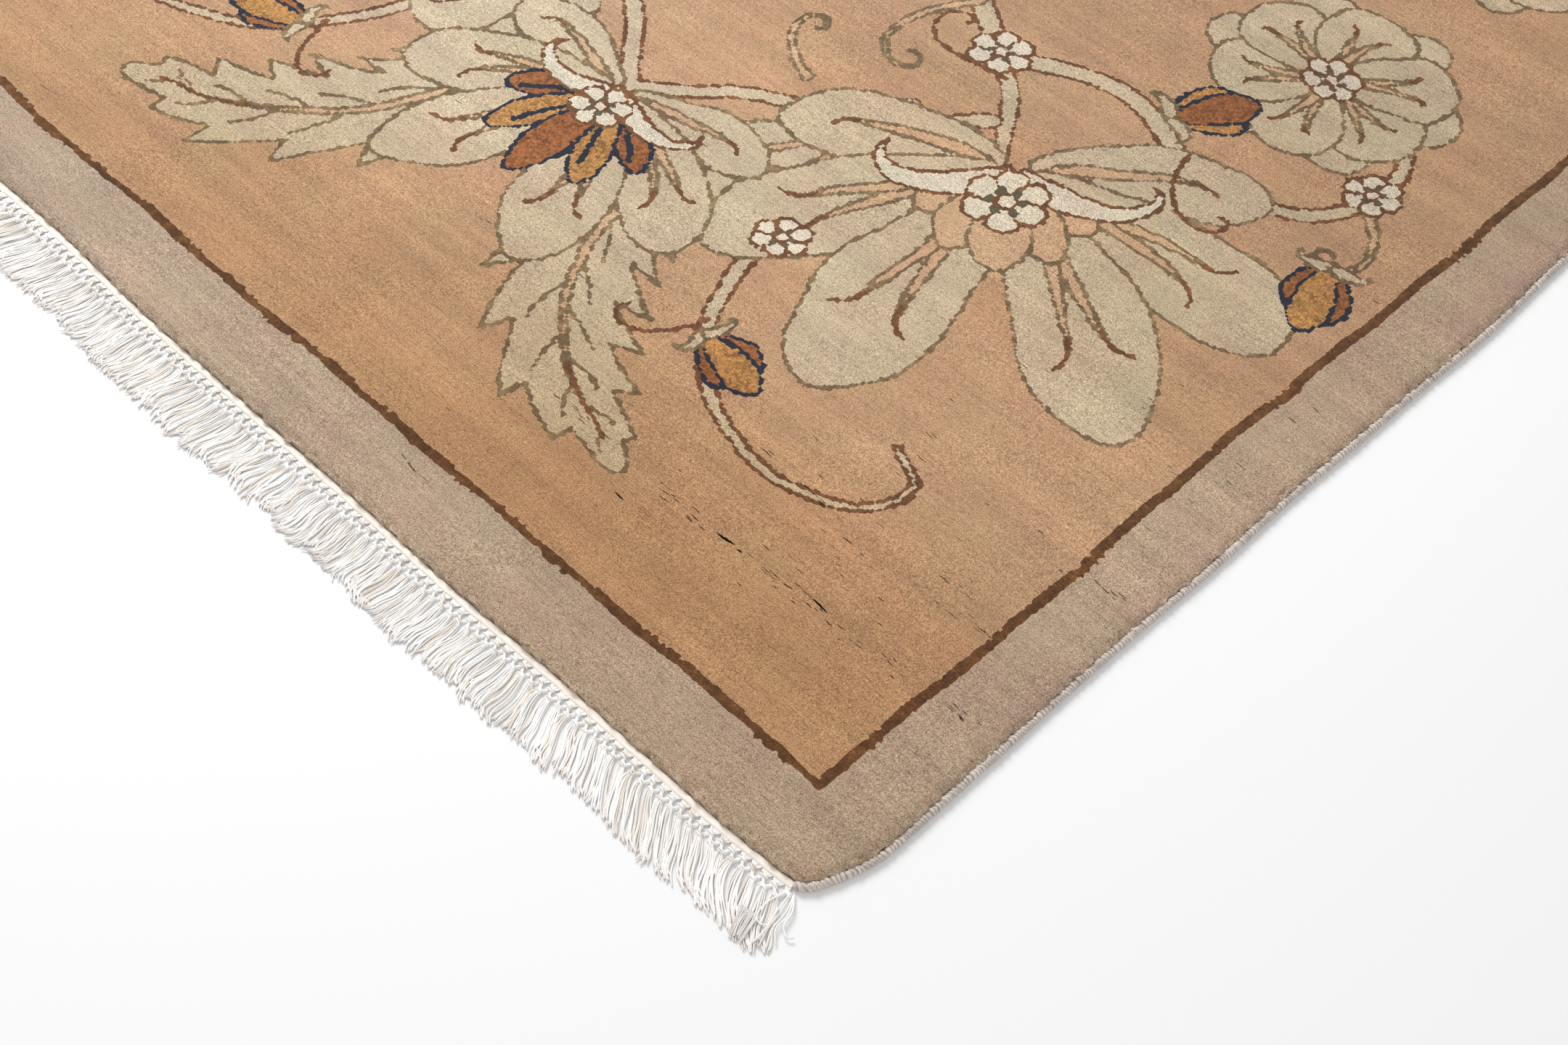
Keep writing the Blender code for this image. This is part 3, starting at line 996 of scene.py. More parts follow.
def make_selvedge(name, first_joint, last_joint, material):
    """The cord along a long side, overcast with wool: each wrap is a raised slanting turn."""
    count = int((last_joint - first_joint) / WRAP_PITCH * WRAP_STEPS)
    stations = np.linspace(first_joint + GAP, last_joint - GAP, count)[:, None]
    angle = 2 * np.pi * np.arange(CORD_SIDES)[None, :] / CORD_SIDES
    wrap = stations / WRAP_PITCH + WRAP_SLANT * angle / (2 * np.pi)
    wrap = wrap + plane_waves(WRAP_WOBBLES, stations, angle)
    turn = np.floor(wrap).astype(int)
    turn -= turn.min()
    loose = np.random.default_rng(CORD_SEED).normal(0, 1, turn.max() + 2)[turn]
    crest = np.abs(np.sin(np.pi * wrap))
    bead = np.sin(CORD_BEADS * stations + waves(BEAD_WOBBLES, stations))
    radius = CORD_CORE + WRAP_RELIEF * crest**0.7 + WRAP_LOOSENESS * loose
    radius = radius + CORD_BEAD * bead + waves(CORD_SWELLS, stations)
    offset = SELVEDGE_DIAMETER / 2 - CORD_TUCK + radius * np.cos(angle)
    height = np.maximum(SELVEDGE_DIAMETER / 2 + radius * np.sin(angle), 0.0)
    mesh = strip_mesh(name, raised(stations, offset, height), material)
    # The crests go to the material, which paints shade between the turns and a highlight on the crests.
    add_tone(mesh, (loose * 0.2 + 0.5).ravel(), crest.ravel())
    return add_piece(name, mesh, "selvedge", name.replace("cord", "selvedge"))


RIB_PITCH = 0.0019
RIB_HEIGHT = 0.00035
HEADING_SWELLS = ((0.0003, 210.0, 4.0, 0.0),)  # m, rad a metre along, rad over the width, phase
HEADING_WAVERS = ((0.0002, 170.0, 0.0),)  # size (m), rad a metre along, phase (rad)
HEADING_SECTION = (  # share of the width, share of the thickness
    (0.00, 0.00),
    (0.00, 0.80),
    (0.17, 0.97),
    (0.34, 1.00),
    (0.50, 0.96),
    (0.66, 1.00),
    (0.83, 0.96),
    (1.00, 0.78),
    (1.00, 0.00),
)


def make_heading(name, first_joint, last_joint, material):
    """The flat-woven strip: fine ribs over the warps, three rows of wefts."""
    count = int((last_joint - first_joint) / RIB_PITCH * 2)
    stations = np.linspace(first_joint, last_joint, count)[:, None]
    share, level = np.array(HEADING_SECTION).T[:, None]
    rib = alternating(count)[:, None] * alternating(len(HEADING_SECTION))
    swell = RIB_HEIGHT * rib + plane_waves(HEADING_SWELLS, stations, share)
    height = HEADING_THICKNESS * level + (level > 0) * swell
    waver = waves(HEADING_WAVERS, stations) * (share > 0.5)
    mesh = strip_mesh(name, raised(stations, GAP + HEADING_WIDTH * share + waver, height), material)
    return add_piece(name, mesh, "heading", name.replace("weave", "heading"))


# ------------------------------------------------------------------ fringes
HEADING_EDGE = 2 * GAP + HEADING_WIDTH
STRANDS = 9
STRAND_RADIUS = 0.00074
TIP_RADII = (1.2, 0.8)  # of the last two points, as shares of the strand's radius
STRAND_LOWEST = STRAND_RADIUS * 1.5
FREE_STEPS = 12
FRINGE_SEEDS = {"near": 11, "far": 12}
FIRST_KNOTS = 0.0042  # out from the heading
SECOND_KNOTS = 0.0110
KNOT_LEVEL = 0.0016  # height of the strands at the knots
FREE_LEVEL = 0.0018
KNOT_HALF_WIDTH = 0.0030
KNOT_HALF_HEIGHT = 0.0014
KNOT_TURNS = (-0.0009, 0.0008)  # the places of a knot's two turns (m)
KNOT_STEPS = 12
KNOT_SLIP = 0.0003
KNOT_TILT = 0.25  # how far forward a knot's turn goes for each metre across
KNOT_TILT_STRAY = 0.12
KNOT_WEAR = 0.1  # as a strand is this share of its length from the heading
KNOT_YARN_RADIUS = 0.00092
KNOT_YARN_LOWEST = KNOT_YARN_RADIUS * 1.4
KNOT_LAYER = 0.0004  # how far every other strand lies above its knot's middle
FOOT_LAYER = 0.0005
FREE_LAYER = 0.0007
TIP_SPREAD = 0.0102  # how much a bundle's tips fan out
FAN_EASE = 0.45
TIP_SHORTENING = 0.008
BUNDLE_SWAY = 0.0014
BUNDLE_CURVE = 0.0017
BUNDLE_CURVE_TURN = 5.2  # rad over a strand's length
CURVE_PHASES = (  # rad, rad a metre along the edge, phase (rad)
    (1.2, 21.0, 0.0),
    (0.8, 47.0, 1.0),
)
LENGTH_STRAY = 0.04  # share of a bundle's length
LENGTH_JITTER = 0.0017
STRAND_SWAY = 0.0010
CURVE_STRAY = 0.0006
CURL_STRAY = 0.0020
CURL_JITTER = 0.0022
FREE_ARCH = 0.0007
TIP_SINK = 0.30  # share of its height that a strand loses by its tip
TIP_LIFT = 0.0005
STRAND_WAVES = (  # amplitude at the tip (m), rad over a strand's length
    (0.0007, 6.5),
    (0.0003, 13.0),
)
PUSHED_SHARE = 0.16  # of the bundles are pushed apart from the next one
PUSH = 0.0032
CURL_START = 0.82  # share of a strand's length where its tip starts to curl


def leans(across):
    """How far a tip leans and what share of its length a bundle has, this far across."""
    place, *columns = np.array(STRAND_LEANS).T
    rows = np.arange(len(place))
    row, share = np.divmod(np.interp(across, place, rows), 1)
    eased = row + share * share * (3 - 2 * share)
    return [np.interp(eased, rows, column) for column in columns]


def pushed_bundles(count, random):
    """How far each bundle is pushed aside: here and there two neighbours leave a gap."""
    push = np.zeros((count, 1))
    for gap in np.nonzero(random.uniform(0, 1, count) < PUSHED_SHARE)[0]:
        strength = PUSH * random.uniform(0.4, 1.0)
        for k in range(3):
            if gap - k >= 0:
                push[gap - k] += strength * 0.5**k
            if gap + 1 + k < count:
                push[gap + 1 + k] -= strength * 0.5**k
    return push


def knotted_points(first_joint, pitch, bundle, share, layer):
    """Each strand's points from the heading, through a knot of each row."""
    spread = share - 0.5
    tight = spread - np.where(share > 0.5, 0.25, -0.25)
    root = first_joint + (bundle + share) * pitch
    first_knot = first_joint + (bundle + np.round(share)) * pitch
    second_knot = first_joint + (bundle + 0.5) * pitch
    middle = first_knot + (second_knot - first_knot) * 0.45 + tight * pitch * 0.3
    rows = (  # along the edge, out from the heading, above the floor
        (root, -0.0008, KNOT_LEVEL),
        (root + (first_knot - root) * 0.25, 0.0012, KNOT_LEVEL),
        (first_knot + tight * pitch * 0.5, FIRST_KNOTS, KNOT_LEVEL + layer * KNOT_LAYER),
        (middle, (FIRST_KNOTS + SECOND_KNOTS) / 2, KNOT_LEVEL),
        (second_knot + spread * pitch * 0.42, SECOND_KNOTS, KNOT_LEVEL + layer * FOOT_LAYER),
    )
    return np.stack([raised(place, HEADING_EDGE + out, level) for place, out, level in rows], 1)


def free_heights(s, layer, sway):
    """How high each strand lies, from its foot to its tip."""
    height = FREE_LEVEL + layer * FREE_LAYER * (1 - s) + FREE_ARCH * sway[:, [0]] * np.sin(np.pi * s)
    height = height * (1 - TIP_SINK * s) + TIP_LIFT * sway[:, [1]] * s
    return np.maximum(height, STRAND_LOWEST)


def free_points(feet, knots, spread, layer, facing, random):
    """Each strand's points from its foot to its tip: it leans, fans out, waves and curls."""
    size = knots.shape
    count = len(knots) // STRANDS

    def stray(amount):
        """One random amount for each bundle."""
        return np.repeat(random.normal(0, amount, (count, 1)), STRANDS, 0)

    lean, length = leans(-facing * edge_points(knots, HEADING_EDGE + KNOT_BAND_WIDTH)[..., 0])
    length = BUNDLE_LENGTH * length + outline_waves(TIP_WAVES, knots) + KNOT_BAND_WIDTH - SECOND_KNOTS
    length = length * (1 + stray(LENGTH_STRAY)) + random.normal(0, LENGTH_JITTER, size)
    length = length - TIP_SHORTENING * spread**2
    sway = stray(BUNDLE_SWAY)
    push = np.repeat(pushed_bundles(count, random), STRANDS, 0)
    curve = BUNDLE_CURVE + stray(CURVE_STRAY)
    slow = waves(CURVE_PHASES, knots)
    curl = stray(CURL_STRAY) + random.normal(0, CURL_JITTER, size)
    sway = sway + random.normal(0, STRAND_SWAY, size)
    phase = random.uniform(0, 2 * np.pi, (len(knots), 2))
    level_sway = random.uniform(-1, 1, (len(knots), 2))

    s = np.arange(1, FREE_STEPS + 1) / FREE_STEPS
    side = -facing * lean * s**LEAN_EASE + sway * s + spread * TIP_SPREAD * s**FAN_EASE
    side += curve * (np.sin(BUNDLE_CURVE_TURN * s + slow) - np.sin(slow)) * np.minimum(1.0, 1.6 * s)
    side += push * np.sin(np.pi * np.minimum(1.0, 1.15 * s) ** 0.8)
    side += curl * np.maximum(0.0, (s - CURL_START) / (1 - CURL_START)) ** 2
    for k, (amplitude, turns) in enumerate(STRAND_WAVES):
        side += amplitude * np.sin(turns * s + phase[:, [k]]) * s
    flat = feet[:, None, :2] + np.stack([side, facing * length * s * (1 - 0.02 * s)], -1)
    return np.concatenate([flat, free_heights(s, layer, level_sway)[..., None]], -1)


def strand_paths(first_joint, last_joint, facing, random):
    """Every strand's path, the number of bundles and how far apart they are."""
    count = int((last_joint - first_joint) / BUNDLE_PITCH)
    pitch = (last_joint - first_joint) / count
    bundle = np.repeat(np.arange(count), STRANDS)
    share = np.tile((np.arange(STRANDS) + 0.5) / STRANDS, count)  # across the bundle, 0 to 1
    layer = np.tile(alternating(STRANDS), count)
    knotted = knotted_points(first_joint, pitch, bundle, share, layer)
    knots = first_joint + (bundle + 0.5) * pitch
    columns = (values[:, None] for values in (knots, share - 0.5, layer))
    free = free_points(knotted[:, -1], *columns, facing, random)
    return np.concatenate([knotted, free], 1), count, pitch


LOOSE_STRANDS = (  # x and y (m) of the points that strands at the visible corner lie through
    ((0.7300, -1.2220), (0.7262, -1.2380), (0.7268, -1.2510), (0.7330, -1.2582), (0.7400, -1.2530),
     (0.7372, -1.2430), (0.7325, -1.2370)),
    ((0.7345, -1.2220), (0.7415, -1.2380), (0.7440, -1.2540), (0.7515, -1.2680)),
    ((0.7330, -1.2225), (0.7385, -1.2400), (0.7415, -1.2560), (0.7468, -1.2705)),
    ((0.7335, -1.2210), (0.7440, -1.2330), (0.7478, -1.2460), (0.7560, -1.2515), (0.7600, -1.2480)),
    ((0.7320, -1.2225), (0.7360, -1.2420), (0.7405, -1.2560), (0.7420, -1.2715)),
    ((0.7345, -1.2215), (0.7440, -1.2380), (0.7455, -1.2520), (0.7540, -1.2610)),
)
LOOSE_LEVEL = 0.0024
LOOSE_ARCH = 0.0016
LOOSE_LEVEL_STRAY = 0.0004
LOOSE_WEAR = 0.5
TUFT_STRANDS = 18
TUFT_START = (0.7155, -1.2560)
TUFT_END = (0.7235, -1.2785)
TUFT_WIDTH = 0.0150
TUFT_SHIFT = 0.0070
TUFT_SLANT = 0.0030
TUFT_NARROWING = 0.9
TUFT_STRAY = 0.0012
TUFT_BEND = 0.0010
TUFT_WEAR = 1.0


def corner_strands(steps, random):
    """Longer strands, a loop and a worn grey tuft that lie over the fringe's visible corner."""
    lines = [np.array(points) for points in LOOSE_STRANDS]
    for k in range(TUFT_STRANDS):
        place = k / TUFT_STRANDS
        across = np.array([TUFT_WIDTH * (place - 0.5) + TUFT_SHIFT, TUFT_SLANT * place])
        start = np.array(TUFT_START) + across
        end = np.array(TUFT_END) + across * TUFT_NARROWING + random.normal(0, TUFT_STRAY, 2)
        middle = (start + end) / 2 + random.normal(0, TUFT_BEND, 2)
        lines.append(np.array([start, middle, end]))
    arch = LOOSE_LEVEL + LOOSE_ARCH * np.sin(np.pi * np.linspace(0, 1, steps))
    paths = []
    for line in lines:
        height = arch + LOOSE_LEVEL_STRAY * random.uniform(-1, 1)
        paths.append(np.column_stack([resample(smooth_line(line), steps), height]))
    wear = [LOOSE_WEAR] * len(LOOSE_STRANDS) + [TUFT_WEAR] * TUFT_STRANDS
    return np.array(paths), np.array(wear)


def uneven_radii(radius, stray, paths, random):
    """The radius of every point of every path, each path's its own."""
    return np.full(paths.shape[:2], radius) * (1 + stray * random.normal(0, 1, (len(paths), 1)))


def make_fringe(end, first_joint, last_joint, facing, material):
    """The knotted warps of one end: strands, and a wrap of yarn at every knot."""
    random = np.random.default_rng(FRINGE_SEEDS[end])
    paths, count, pitch = strand_paths(first_joint, last_joint, facing, random)
    steps = paths.shape[1]
    wear = np.zeros(len(paths))
    if end == "near":
        loose, loose_wear = corner_strands(steps, random)
        paths = np.vstack([paths, loose])
        wear = np.concatenate([wear, loose_wear])
    wear = wear[:, None]
    radii = uneven_radii(STRAND_RADIUS, 0.08, paths, random) * (1 - 0.25 * wear)
    radii[:, -2:] *= TIP_RADII
    # The material greys the last part of each strand, painted shade where the tips curl under, and the
    # worn tuft all over.
    along = np.maximum(np.linspace(0, 1, steps), wear)
    up = np.array([0.0, 0.0, 1.0])
    mesh = tube_mesh("strands_" + end, paths, radii, up, along, material, random)
    strands = add_piece("strands_" + end, mesh, "fringe", "fringe_" + end)
    return strands, make_knots(end, first_joint, count, pitch, material, random)


def make_knots(end, first_joint, count, pitch, material, random):
    """Two turns of yarn round the gathered strands at each knot of the two rows."""
    rows = (
        (first_joint + np.arange(count + 1) * pitch, HEADING_EDGE + FIRST_KNOTS),
        (first_joint + (np.arange(count) + 0.5) * pitch, HEADING_EDGE + SECOND_KNOTS),
    )
    turn = np.linspace(0, 2 * np.pi, KNOT_STEPS, endpoint=False)
    level = FREE_LEVEL + KNOT_HALF_HEIGHT * np.sin(turn)
    rings = []
    axes = []
    for stations, offset in rows:
        size = (len(stations), 1)
        out = outward_at(stations)
        across = np.stack([-out[:, 1], out[:, 0]], 1)
        centre = edge_points(stations, offset)[:, None]
        for shift in KNOT_TURNS:
            slip = random.normal(0, KNOT_SLIP, size)
            side = KNOT_HALF_WIDTH * (1 + 0.1 * random.normal(0, 1, size)) * np.cos(turn)
            forward = shift + slip + random.normal(KNOT_TILT, KNOT_TILT_STRAY, size) * side
            flat = centre + across[:, None] * side[..., None] + out[:, None] * forward[..., None]
            rise = np.broadcast_to(np.maximum(level, KNOT_YARN_LOWEST), side.shape)
            rings.append(np.concatenate([flat, rise[..., None]], -1))
            axes.append(np.column_stack([out, np.zeros(len(stations))]))
    paths = np.vstack(rings)
    radii = uneven_radii(KNOT_YARN_RADIUS, 0.1, paths, random)
    axes = np.vstack(axes)[:, None]
    mesh = tube_mesh("knots_" + end, paths, radii, axes, KNOT_WEAR, material, random, closed=True)
    return add_piece("knots_" + end, mesh, "fringe")


# ------------------------------------------------------------------ materials
MIX_INPUTS = (0, 6, 7)  # a Mix node's factor and its two colours
MIX_OUTPUT = 2


class Nodes:
    """Short names for the nodes that the materials use."""

    def __init__(self, name):
        self.material = bpy.data.materials.new(name)
        self.material.use_nodes = True
        self.tree = self.material.node_tree
        self.shader = self.tree.nodes["Principled BSDF"]
        self.place = self.add("TexCoord")["Object"]

    def fill(self, node, inputs):
        """Links each input of a node to an output, or sets it to a value."""
        for name, value in inputs.items():
            if isinstance(value, bpy.types.NodeSocket):
                self.tree.links.new(value, node.inputs[name])
            else:
                node.inputs[name].default_value = value

    def add(self, kind, inputs=None, **settings):
        """Adds a node and returns its outputs."""
        node = self.tree.nodes.new("ShaderNode" + kind)
        for name, value in settings.items():
            setattr(node, name, value)
        self.fill(node, inputs or {})
        return node.outputs

    def noise(self, scale, detail=2.0):
        """Noise, scaled by a factor, or by one along each axis."""
        place = self.place
        if isinstance(scale, tuple):
            place = self.add("Mapping", {"Vector": place, "Scale": scale})["Vector"]
            scale = 1.0
        return self.add("TexNoise", {"Scale": scale, "Detail": detail, "Vector": place})["Fac"]

    def between(self, value, low, high, from_low=0.0, from_high=1.0):
        """value, mapped from one range to another."""
        inputs = {"Value": value, "From Min": from_low, "From Max": from_high}
        return self.add("MapRange", inputs | {"To Min": low, "To Max": high})["Result"]

    def uneven(self, scale, detail, low, high, from_low=0.3, from_high=0.7):
        """Noise, mapped to a range."""
        return self.between(self.noise(scale, detail), low, high, from_low, from_high)

    def ramp(self, metres, stops):
        """Half the factor that stops (metres, factor) give, between the first stop and the last."""
        first = stops[0][0]
        last = stops[-1][0]
        shade = self.add("ValToRGB", {"Fac": self.between(metres, 0.0, 1.0, first, last)})["Color"]
        elements = shade.node.color_ramp.elements
        elements.remove(elements[1])
        for index, (place, factor) in enumerate(stops):
            position = (place - first) / (last - first)
            element = elements.new(position) if index else elements[0]
            element.color = (factor / 2, factor / 2, factor / 2, 1.0)
        return shade

    def maths(self, operation, first, second=0.0):
        return self.add("Math", {0: first, 1: second}, operation=operation)[0]

    def times(self, *values):
        result = values[0]
        for value in values[1:]:
            result = self.maths("MULTIPLY", result, value)
        return result

    def scaled(self, colour, factor):
        """colour times factor."""
        return self.add("VectorMath", {0: colour, "Scale": factor}, operation="SCALE")[0]

    def tinted(self, colour, factor, tint, first=(1.0, 1.0, 1.0)):
        """colour times a tint, which goes from first to tint by factor."""
        inputs = {0: colour, 1: self.mixed(factor, first, tint)}
        return self.add("VectorMath", inputs, operation="MULTIPLY")[0]

    def mixed(self, factor, *colours):
        """Two colours, mixed by factor."""
        colours = [(*value, 1.0) if isinstance(value, tuple) else value for value in colours]
        return self.add("Mix", dict(zip(MIX_INPUTS, [factor, *colours])), data_type="RGBA")[MIX_OUTPUT]

    def bump(self, height, distance):
        normal = self.add("Bump", {"Height": height, "Distance": distance})["Normal"]
        self.fill(self.shader, {"Normal": normal})

    def finish(self, colour, roughness, sheen=0.0, sheen_roughness=0.5):
        inputs = {"Base Color": colour, "Roughness": roughness, "Specular IOR Level": 0.2}
        self.fill(self.shader, inputs | {"Sheen Weight": sheen, "Sheen Roughness": sheen_roughness})
        return self.material


def dyed(*srgb):
    """A colour of 0..255 sRGB as a socket takes it."""
    return tuple(linear(srgb))


WOOL_SHADES = (  # noise scale, detail, darkest, palest, and the noise where they are reached
    (950.0, 3.0, 0.22, 1.78, 0.20, 0.80),  # fibres
    (420.0, 2.0, 0.93, 1.07, 0.25, 0.75),  # grain
    ((2.5, 36.0, 1.0), 3.0, 0.90, 1.10, 0.30, 0.70),  # streaks along the rows
    ((9.0, 260.0, 1.0), 3.0, 0.92, 1.08, 0.30, 0.70),
    # The next two rows are painted light and shade: patches where the pile, brushed different ways,
    # catches more or less light.
    (7.0, 3.0, 0.94, 1.06, 0.30, 0.70),  # brushed patches
    (24.0, 2.0, 0.95, 1.05, 0.30, 0.70),
)
DYE_LOTS = (  # y (m), how pale the wool is there
    (-1.22, 1.00),
    (-1.13, 0.96),
    (-1.04, 0.97),
    (-0.82, 1.06),
    (-0.65, 1.07),
    (-0.45, 0.97),
    (-0.20, 0.93),
    (0.15, 1.00),
    (0.50, 0.95),
    (0.85, 1.03),
    (1.22, 0.98),
)
PALER_TINT = (1.03, 1.12, 1.33)  # each tint is a factor for red, green and blue
LEFT_TINT = (1.00, 1.05, 1.12)
HUE_DRIFT = ((0.98, 1.005, 0.99), (1.035, 0.985, 1.0))
# Painted shade: the tint of the pits and cracks between the tufts.
PIT_SHADE = (0.64, 0.54, 0.44)
AT_SIDE_EDGE = (1.0, 0.965, 1.02)


def mottled_yarn(n, knot):
    """The yarn of each knot, with darker flecks where its mottle is above 0 and paler ones below."""
    knotted = n.add("Attribute", attribute_name="yarn")
    yarn = knotted["Color"]
    mottle = knotted["Alpha"]
    dark = n.scaled(yarn, n.uneven(60.0, 2.0, 0.25, 0.65, 0.35, 0.65))
    pale = n.scaled(yarn, n.uneven(90.0, 2.0, 1.2, 2.6, 0.35, 0.65))
    dark_share = n.times(n.maths("MAXIMUM", mottle), n.between(knot, 0.0, 1.0, 0.35, 0.75))
    pale_knot = n.maths("ADD", n.times(knot, 0.5), n.uneven(38.0, 2.0, 0.0, 0.8, 0.4, 0.62))
    pale_share = n.times(n.maths("MAXIMUM", n.times(mottle, -1.0)), pale_knot)
    return n.mixed(pale_share, n.mixed(dark_share, yarn, dark), pale)


def wool_tints(n, yarn, place):
    """The field turns paler along the rug, the wool less orange towards -X, and its hue drifts."""
    across = n.maths("ABSOLUTE", place["X"])
    in_field_x = n.maths("LESS_THAN", across, PILE_WIDTH / 2 - SIDE_BORDER)
    in_field_y = n.maths("LESS_THAN", n.maths("ABSOLUTE", place["Y"]), PILE_LENGTH / 2 - END_BORDER)
    past_near_end = n.between(place["Y"], 0.0, 0.9, -1.12, -0.85)
    bands = n.uneven((0.8, 5.0, 1.0), 2.0, -0.2, 0.3)
    paling = n.times(n.maths("ADD", past_near_end, bands), in_field_x, in_field_y)
    yarn = n.tinted(yarn, paling, PALER_TINT)
    yarn = n.tinted(yarn, n.between(place["X"], 1.0, 0.0, -0.25, 0.45), LEFT_TINT)
    yarn = n.tinted(yarn, n.uneven(14.0, 2.0, 0.0, 1.0), *HUE_DRIFT)
    # Painted shade: pits and cracks between the tufts, darker and warmer.
    pit_shade = n.uneven(640.0, 1.0, 0.0, 1.0, 0.60, 0.72)
    crack_shade = n.uneven((110.0, 640.0, 1.0), 2.0, 0.0, 1.0, 0.58, 0.72)
    yarn = n.tinted(yarn, n.maths("MAXIMUM", pit_shade, crack_shade), PIT_SHADE)
    side_edge = n.between(across, 0.0, 1.0, 0.728, 0.748)
    handled = n.times(n.uneven(13.0, 1.0, 0.0, 1.0, 0.52, 0.66), side_edge)
    return n.tinted(yarn, handled, AT_SIDE_EDGE)


def pile_material():
    """Cut wool: knots in their own shades, fibre flecks, weft-wise streaks; brushed patches and tuft
    edges are painted light and shade.
    """
    n = Nodes("wool_pile")
    cells = n.add("TexVoronoi", {"Scale": 1 / KNOT, "Vector": n.place})
    tuft = cells["Distance"]
    knot = n.add("SeparateColor", {"Color": cells["Color"]})
    place = n.add("SeparateXYZ", {"Vector": n.place})
    bands = n.between(n.ramp(place["Y"], DYE_LOTS), 0.0, 2.0)
    shades = [n.uneven(*row) for row in WOOL_SHADES]
    # Painted shade: the wool darkens towards the edge of each knot's tuft, where the pile parts.
    parting_shade = n.between(tuft, 1.06, 0.93, 0.1, 0.7)
    shade = n.times(n.between(knot["Red"], 0.95, 1.05), *shades, bands, parting_shade)
    n.bump(n.maths("ADD", n.times(tuft, -0.3), n.times(n.noise(760.0, 3.0), 1.2)), 0.0010)
    yarn = wool_tints(n, mottled_yarn(n, knot["Green"]), place)
    return n.finish(n.scaled(yarn, shade), 0.95, 0.06, 0.6)


def back_material():
    """The back of the knots: a ribbed beige ground weave."""
    n = Nodes("rug_back")
    rib = n.noise((300.0, 300.0, 1.0), 1.0)
    n.bump(rib, 0.0008)
    share = n.between(rib, 0.0, 1.0, 0.3, 0.7)
    return n.finish(n.mixed(share, dyed(150, 125, 98), dyed(186, 165, 138)), 0.95)


def strand_tone(n):
    """What add_tone wrote: a strand's own shade is the red, and how far along it is the green."""
    tone = n.add("Attribute", attribute_name="tone")
    return n.add("SeparateColor", {"Color": tone["Color"]})


def cord_material():
    """Grey-lilac wool of the overcast side cords, with painted shade between the turns and a painted
    highlight on them.
    """
    n = Nodes("overcast_wool")
    tone = strand_tone(n)
    crest_light = n.between(tone["Green"], 0.0, 1.0, 0.15, 0.75)
    colour = n.mixed(crest_light, dyed(158, 143, 133), dyed(209, 198, 189))
    fibre = n.noise(1500.0)
    n.bump(fibre, 0.0004)
    shade = n.times(n.between(fibre, 0.82, 1.18, 0.25, 0.75), n.between(tone["Red"], 0.88, 1.12),
                    n.uneven(60.0, 2.0, 0.88, 1.10))
    return n.finish(n.scaled(colour, shade), 0.9, 0.15)


def weave_material():
    """Cream cotton of the flat-woven headings."""
    n = Nodes("cream_weave")
    n.bump(n.noise(1100.0), 0.0003)
    colour = n.mixed(n.uneven(160.0, 3.0, 0.0, 1.0), dyed(240, 228, 214), dyed(252, 246, 238))
    return n.finish(colour, 0.9, 0.1)


def strand_material():
    """Off-white cotton warps, some a little creamier and greyer at their tips, in part painted shade
    between the strands and where the tips curl under.
    """
    n = Nodes("white_cotton")
    tone = strand_tone(n)
    # Painted shade and tone: some strands a tan cream, partly their own cotton and partly standing in
    # for the shadow lines between strands.
    tan_tone_and_shade = n.between(tone["Red"], 0.0, 1.0, 0.5, 1.0)
    # Painted shade at the tips, where they curl under; the worn corner tuft is grey all over.
    tip_shade_and_wear = n.between(tone["Green"], 0.0, 0.6, 0.86, 1.0)
    body = n.mixed(tan_tone_and_shade, dyed(250, 248, 245), dyed(224, 213, 201))
    n.bump(n.noise(1200.0), 0.0003)
    return n.finish(n.mixed(tip_shade_and_wear, body, dyed(214, 206, 203)), 0.85, 0.1)


def floor_material():
    n = Nodes("pale_floor")
    n.fill(n.shader, {"Base Color": (*FLOOR_COLOUR, 1.0), "Roughness": 0.9})
    return n.material


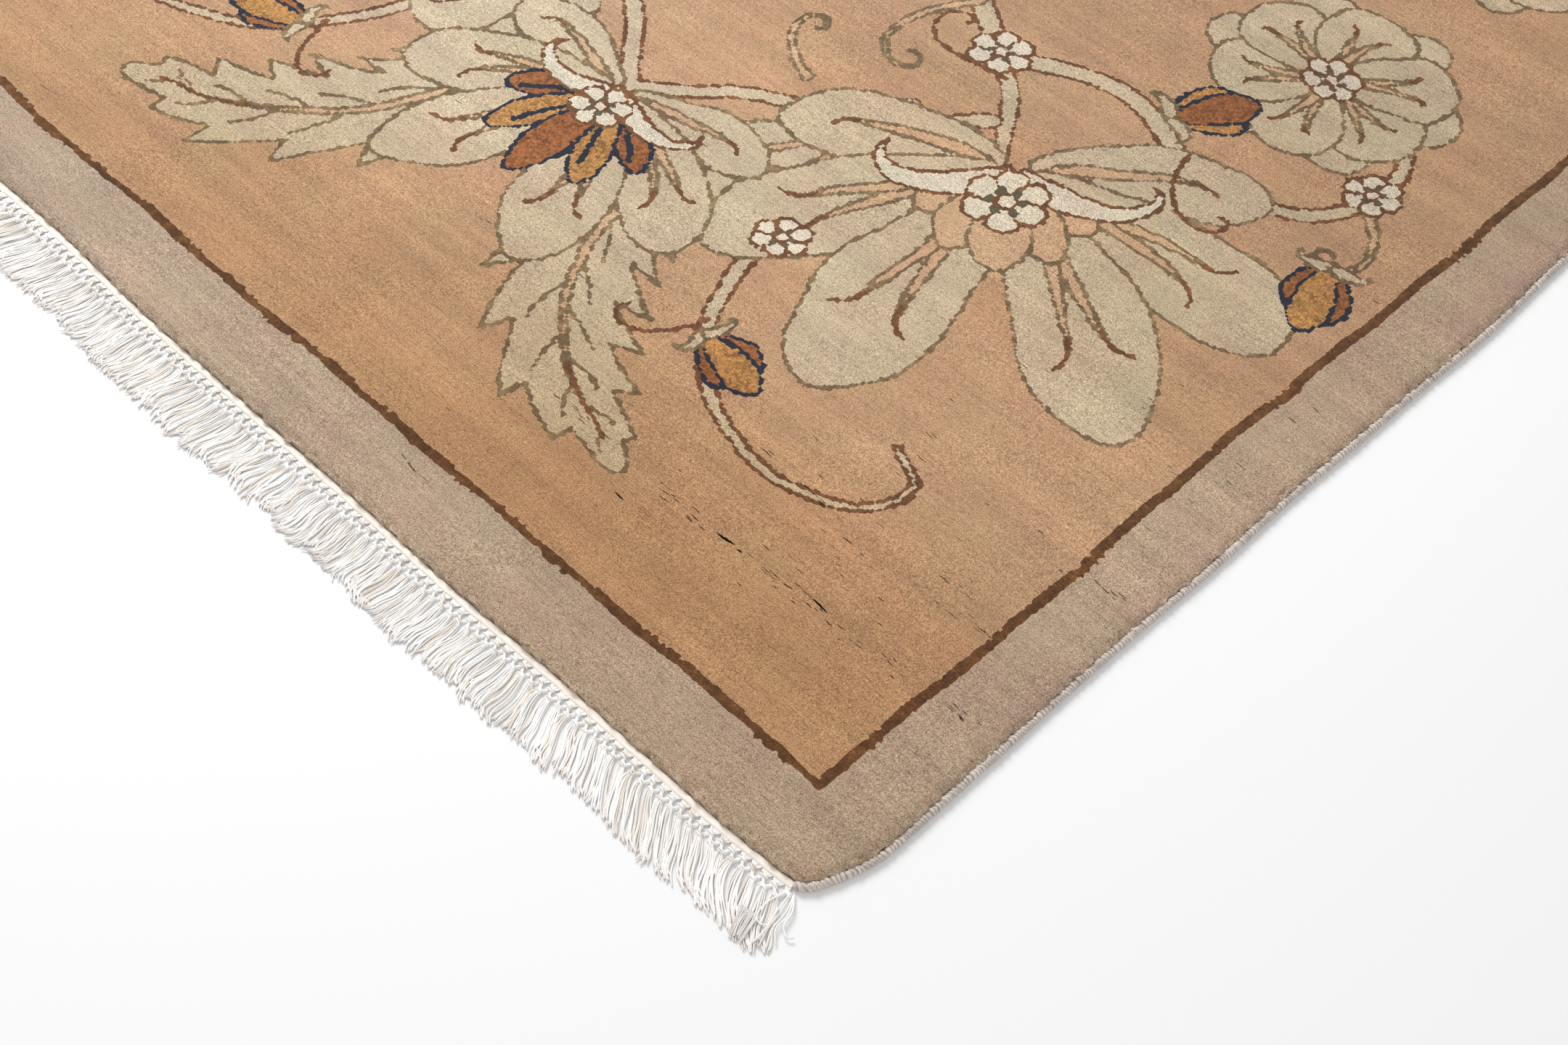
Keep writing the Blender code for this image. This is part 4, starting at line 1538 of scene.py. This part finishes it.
# ------------------------------------------------------------------ camera, floor and light
CAMERA_PLACE = Vector((1.285, -1.893, 1.487))
CAMERA_AIM = Vector((0.4854, -0.9822, 0.011))
CAMERA_ROLL = math.radians(4.55)
CAMERA_LENS = 53.1
FLOOR_REACH = 12.0
FLOOR_DROP = 0.0002  # how far the floor is below the rug
FLOOR_COLOUR = (0.79, 0.79, 0.79)
LIGHTS = (  # name, place (m), aim (m), size (m), power (W)
    ("key", (-1.6, -0.2, 2.1), (0.2, -0.6, 0.0), 1.4, 80),
    ("fill", (2.4, -2.6, 2.6), (0.3, -0.8, 0.0), 2.5, 28),
)
ROOM_STRENGTH = 0.60


def aimed(name, data, place, aim, roll=0.0):
    """A camera or a light that looks from a place towards another."""
    holder = bpy.data.objects.new(name, data)
    turn = (aim - place).to_track_quat("-Z", "Y").to_matrix().to_4x4()
    holder.matrix_world = Matrix.Translation(place) @ turn @ Matrix.Rotation(roll, 4, "Z")
    bpy.context.scene.collection.objects.link(holder)
    return holder


def make_camera():
    camera = bpy.data.cameras.new("camera")
    camera.lens = CAMERA_LENS
    bpy.context.scene.camera = aimed("camera", camera, CAMERA_PLACE, CAMERA_AIM, CAMERA_ROLL)


def make_floor():
    corners = FLOOR_REACH * np.array([(-1, -1, 0), (1, -1, 0), (1, 1, 0), (-1, 1, 0)])
    mesh = new_mesh("floor", corners, [(0, 1, 2, 3)], floor_material())
    floor = bpy.data.objects.new("floor", mesh)
    floor.location.z = -FLOOR_DROP
    bpy.context.scene.collection.objects.link(floor)


def add_softbox(name, place, aim, size, power):
    light = bpy.data.lights.new(name, "AREA")
    light.shape = "SQUARE"
    light.size = size
    light.energy = power
    aimed(name, light, Vector(place), Vector(aim))


def make_light():
    for row in LIGHTS:
        add_softbox(*row)
    room = bpy.data.worlds.new("studio")
    room.use_nodes = True
    background = room.node_tree.nodes["Background"]
    background.inputs["Color"].default_value = (1.0, 1.0, 1.0, 1.0)
    background.inputs["Strength"].default_value = ROOM_STRENGTH
    bpy.context.scene.world = room
    bpy.context.scene.view_settings.view_transform = "Standard"


def main():
    make_camera()
    make_floor()
    make_light()
    near_right, far_right, far_left, near_left = JOINTS
    pile = make_pile(knot_chart())
    wool = cord_material()
    cream = weave_material()
    cotton = strand_material()
    edges = [
        make_selvedge("cord_right", near_right, far_right, wool),
        make_selvedge("cord_left", far_left, near_left, wool),
        make_heading("weave_near", near_left - PERIMETER, near_right, cream),
        make_heading("weave_far", far_right, far_left, cream),
        *make_fringe("near", near_left - PERIMETER, near_right, -1, cotton),
        *make_fringe("far", far_right, far_left, 1, cotton),
    ]


main()
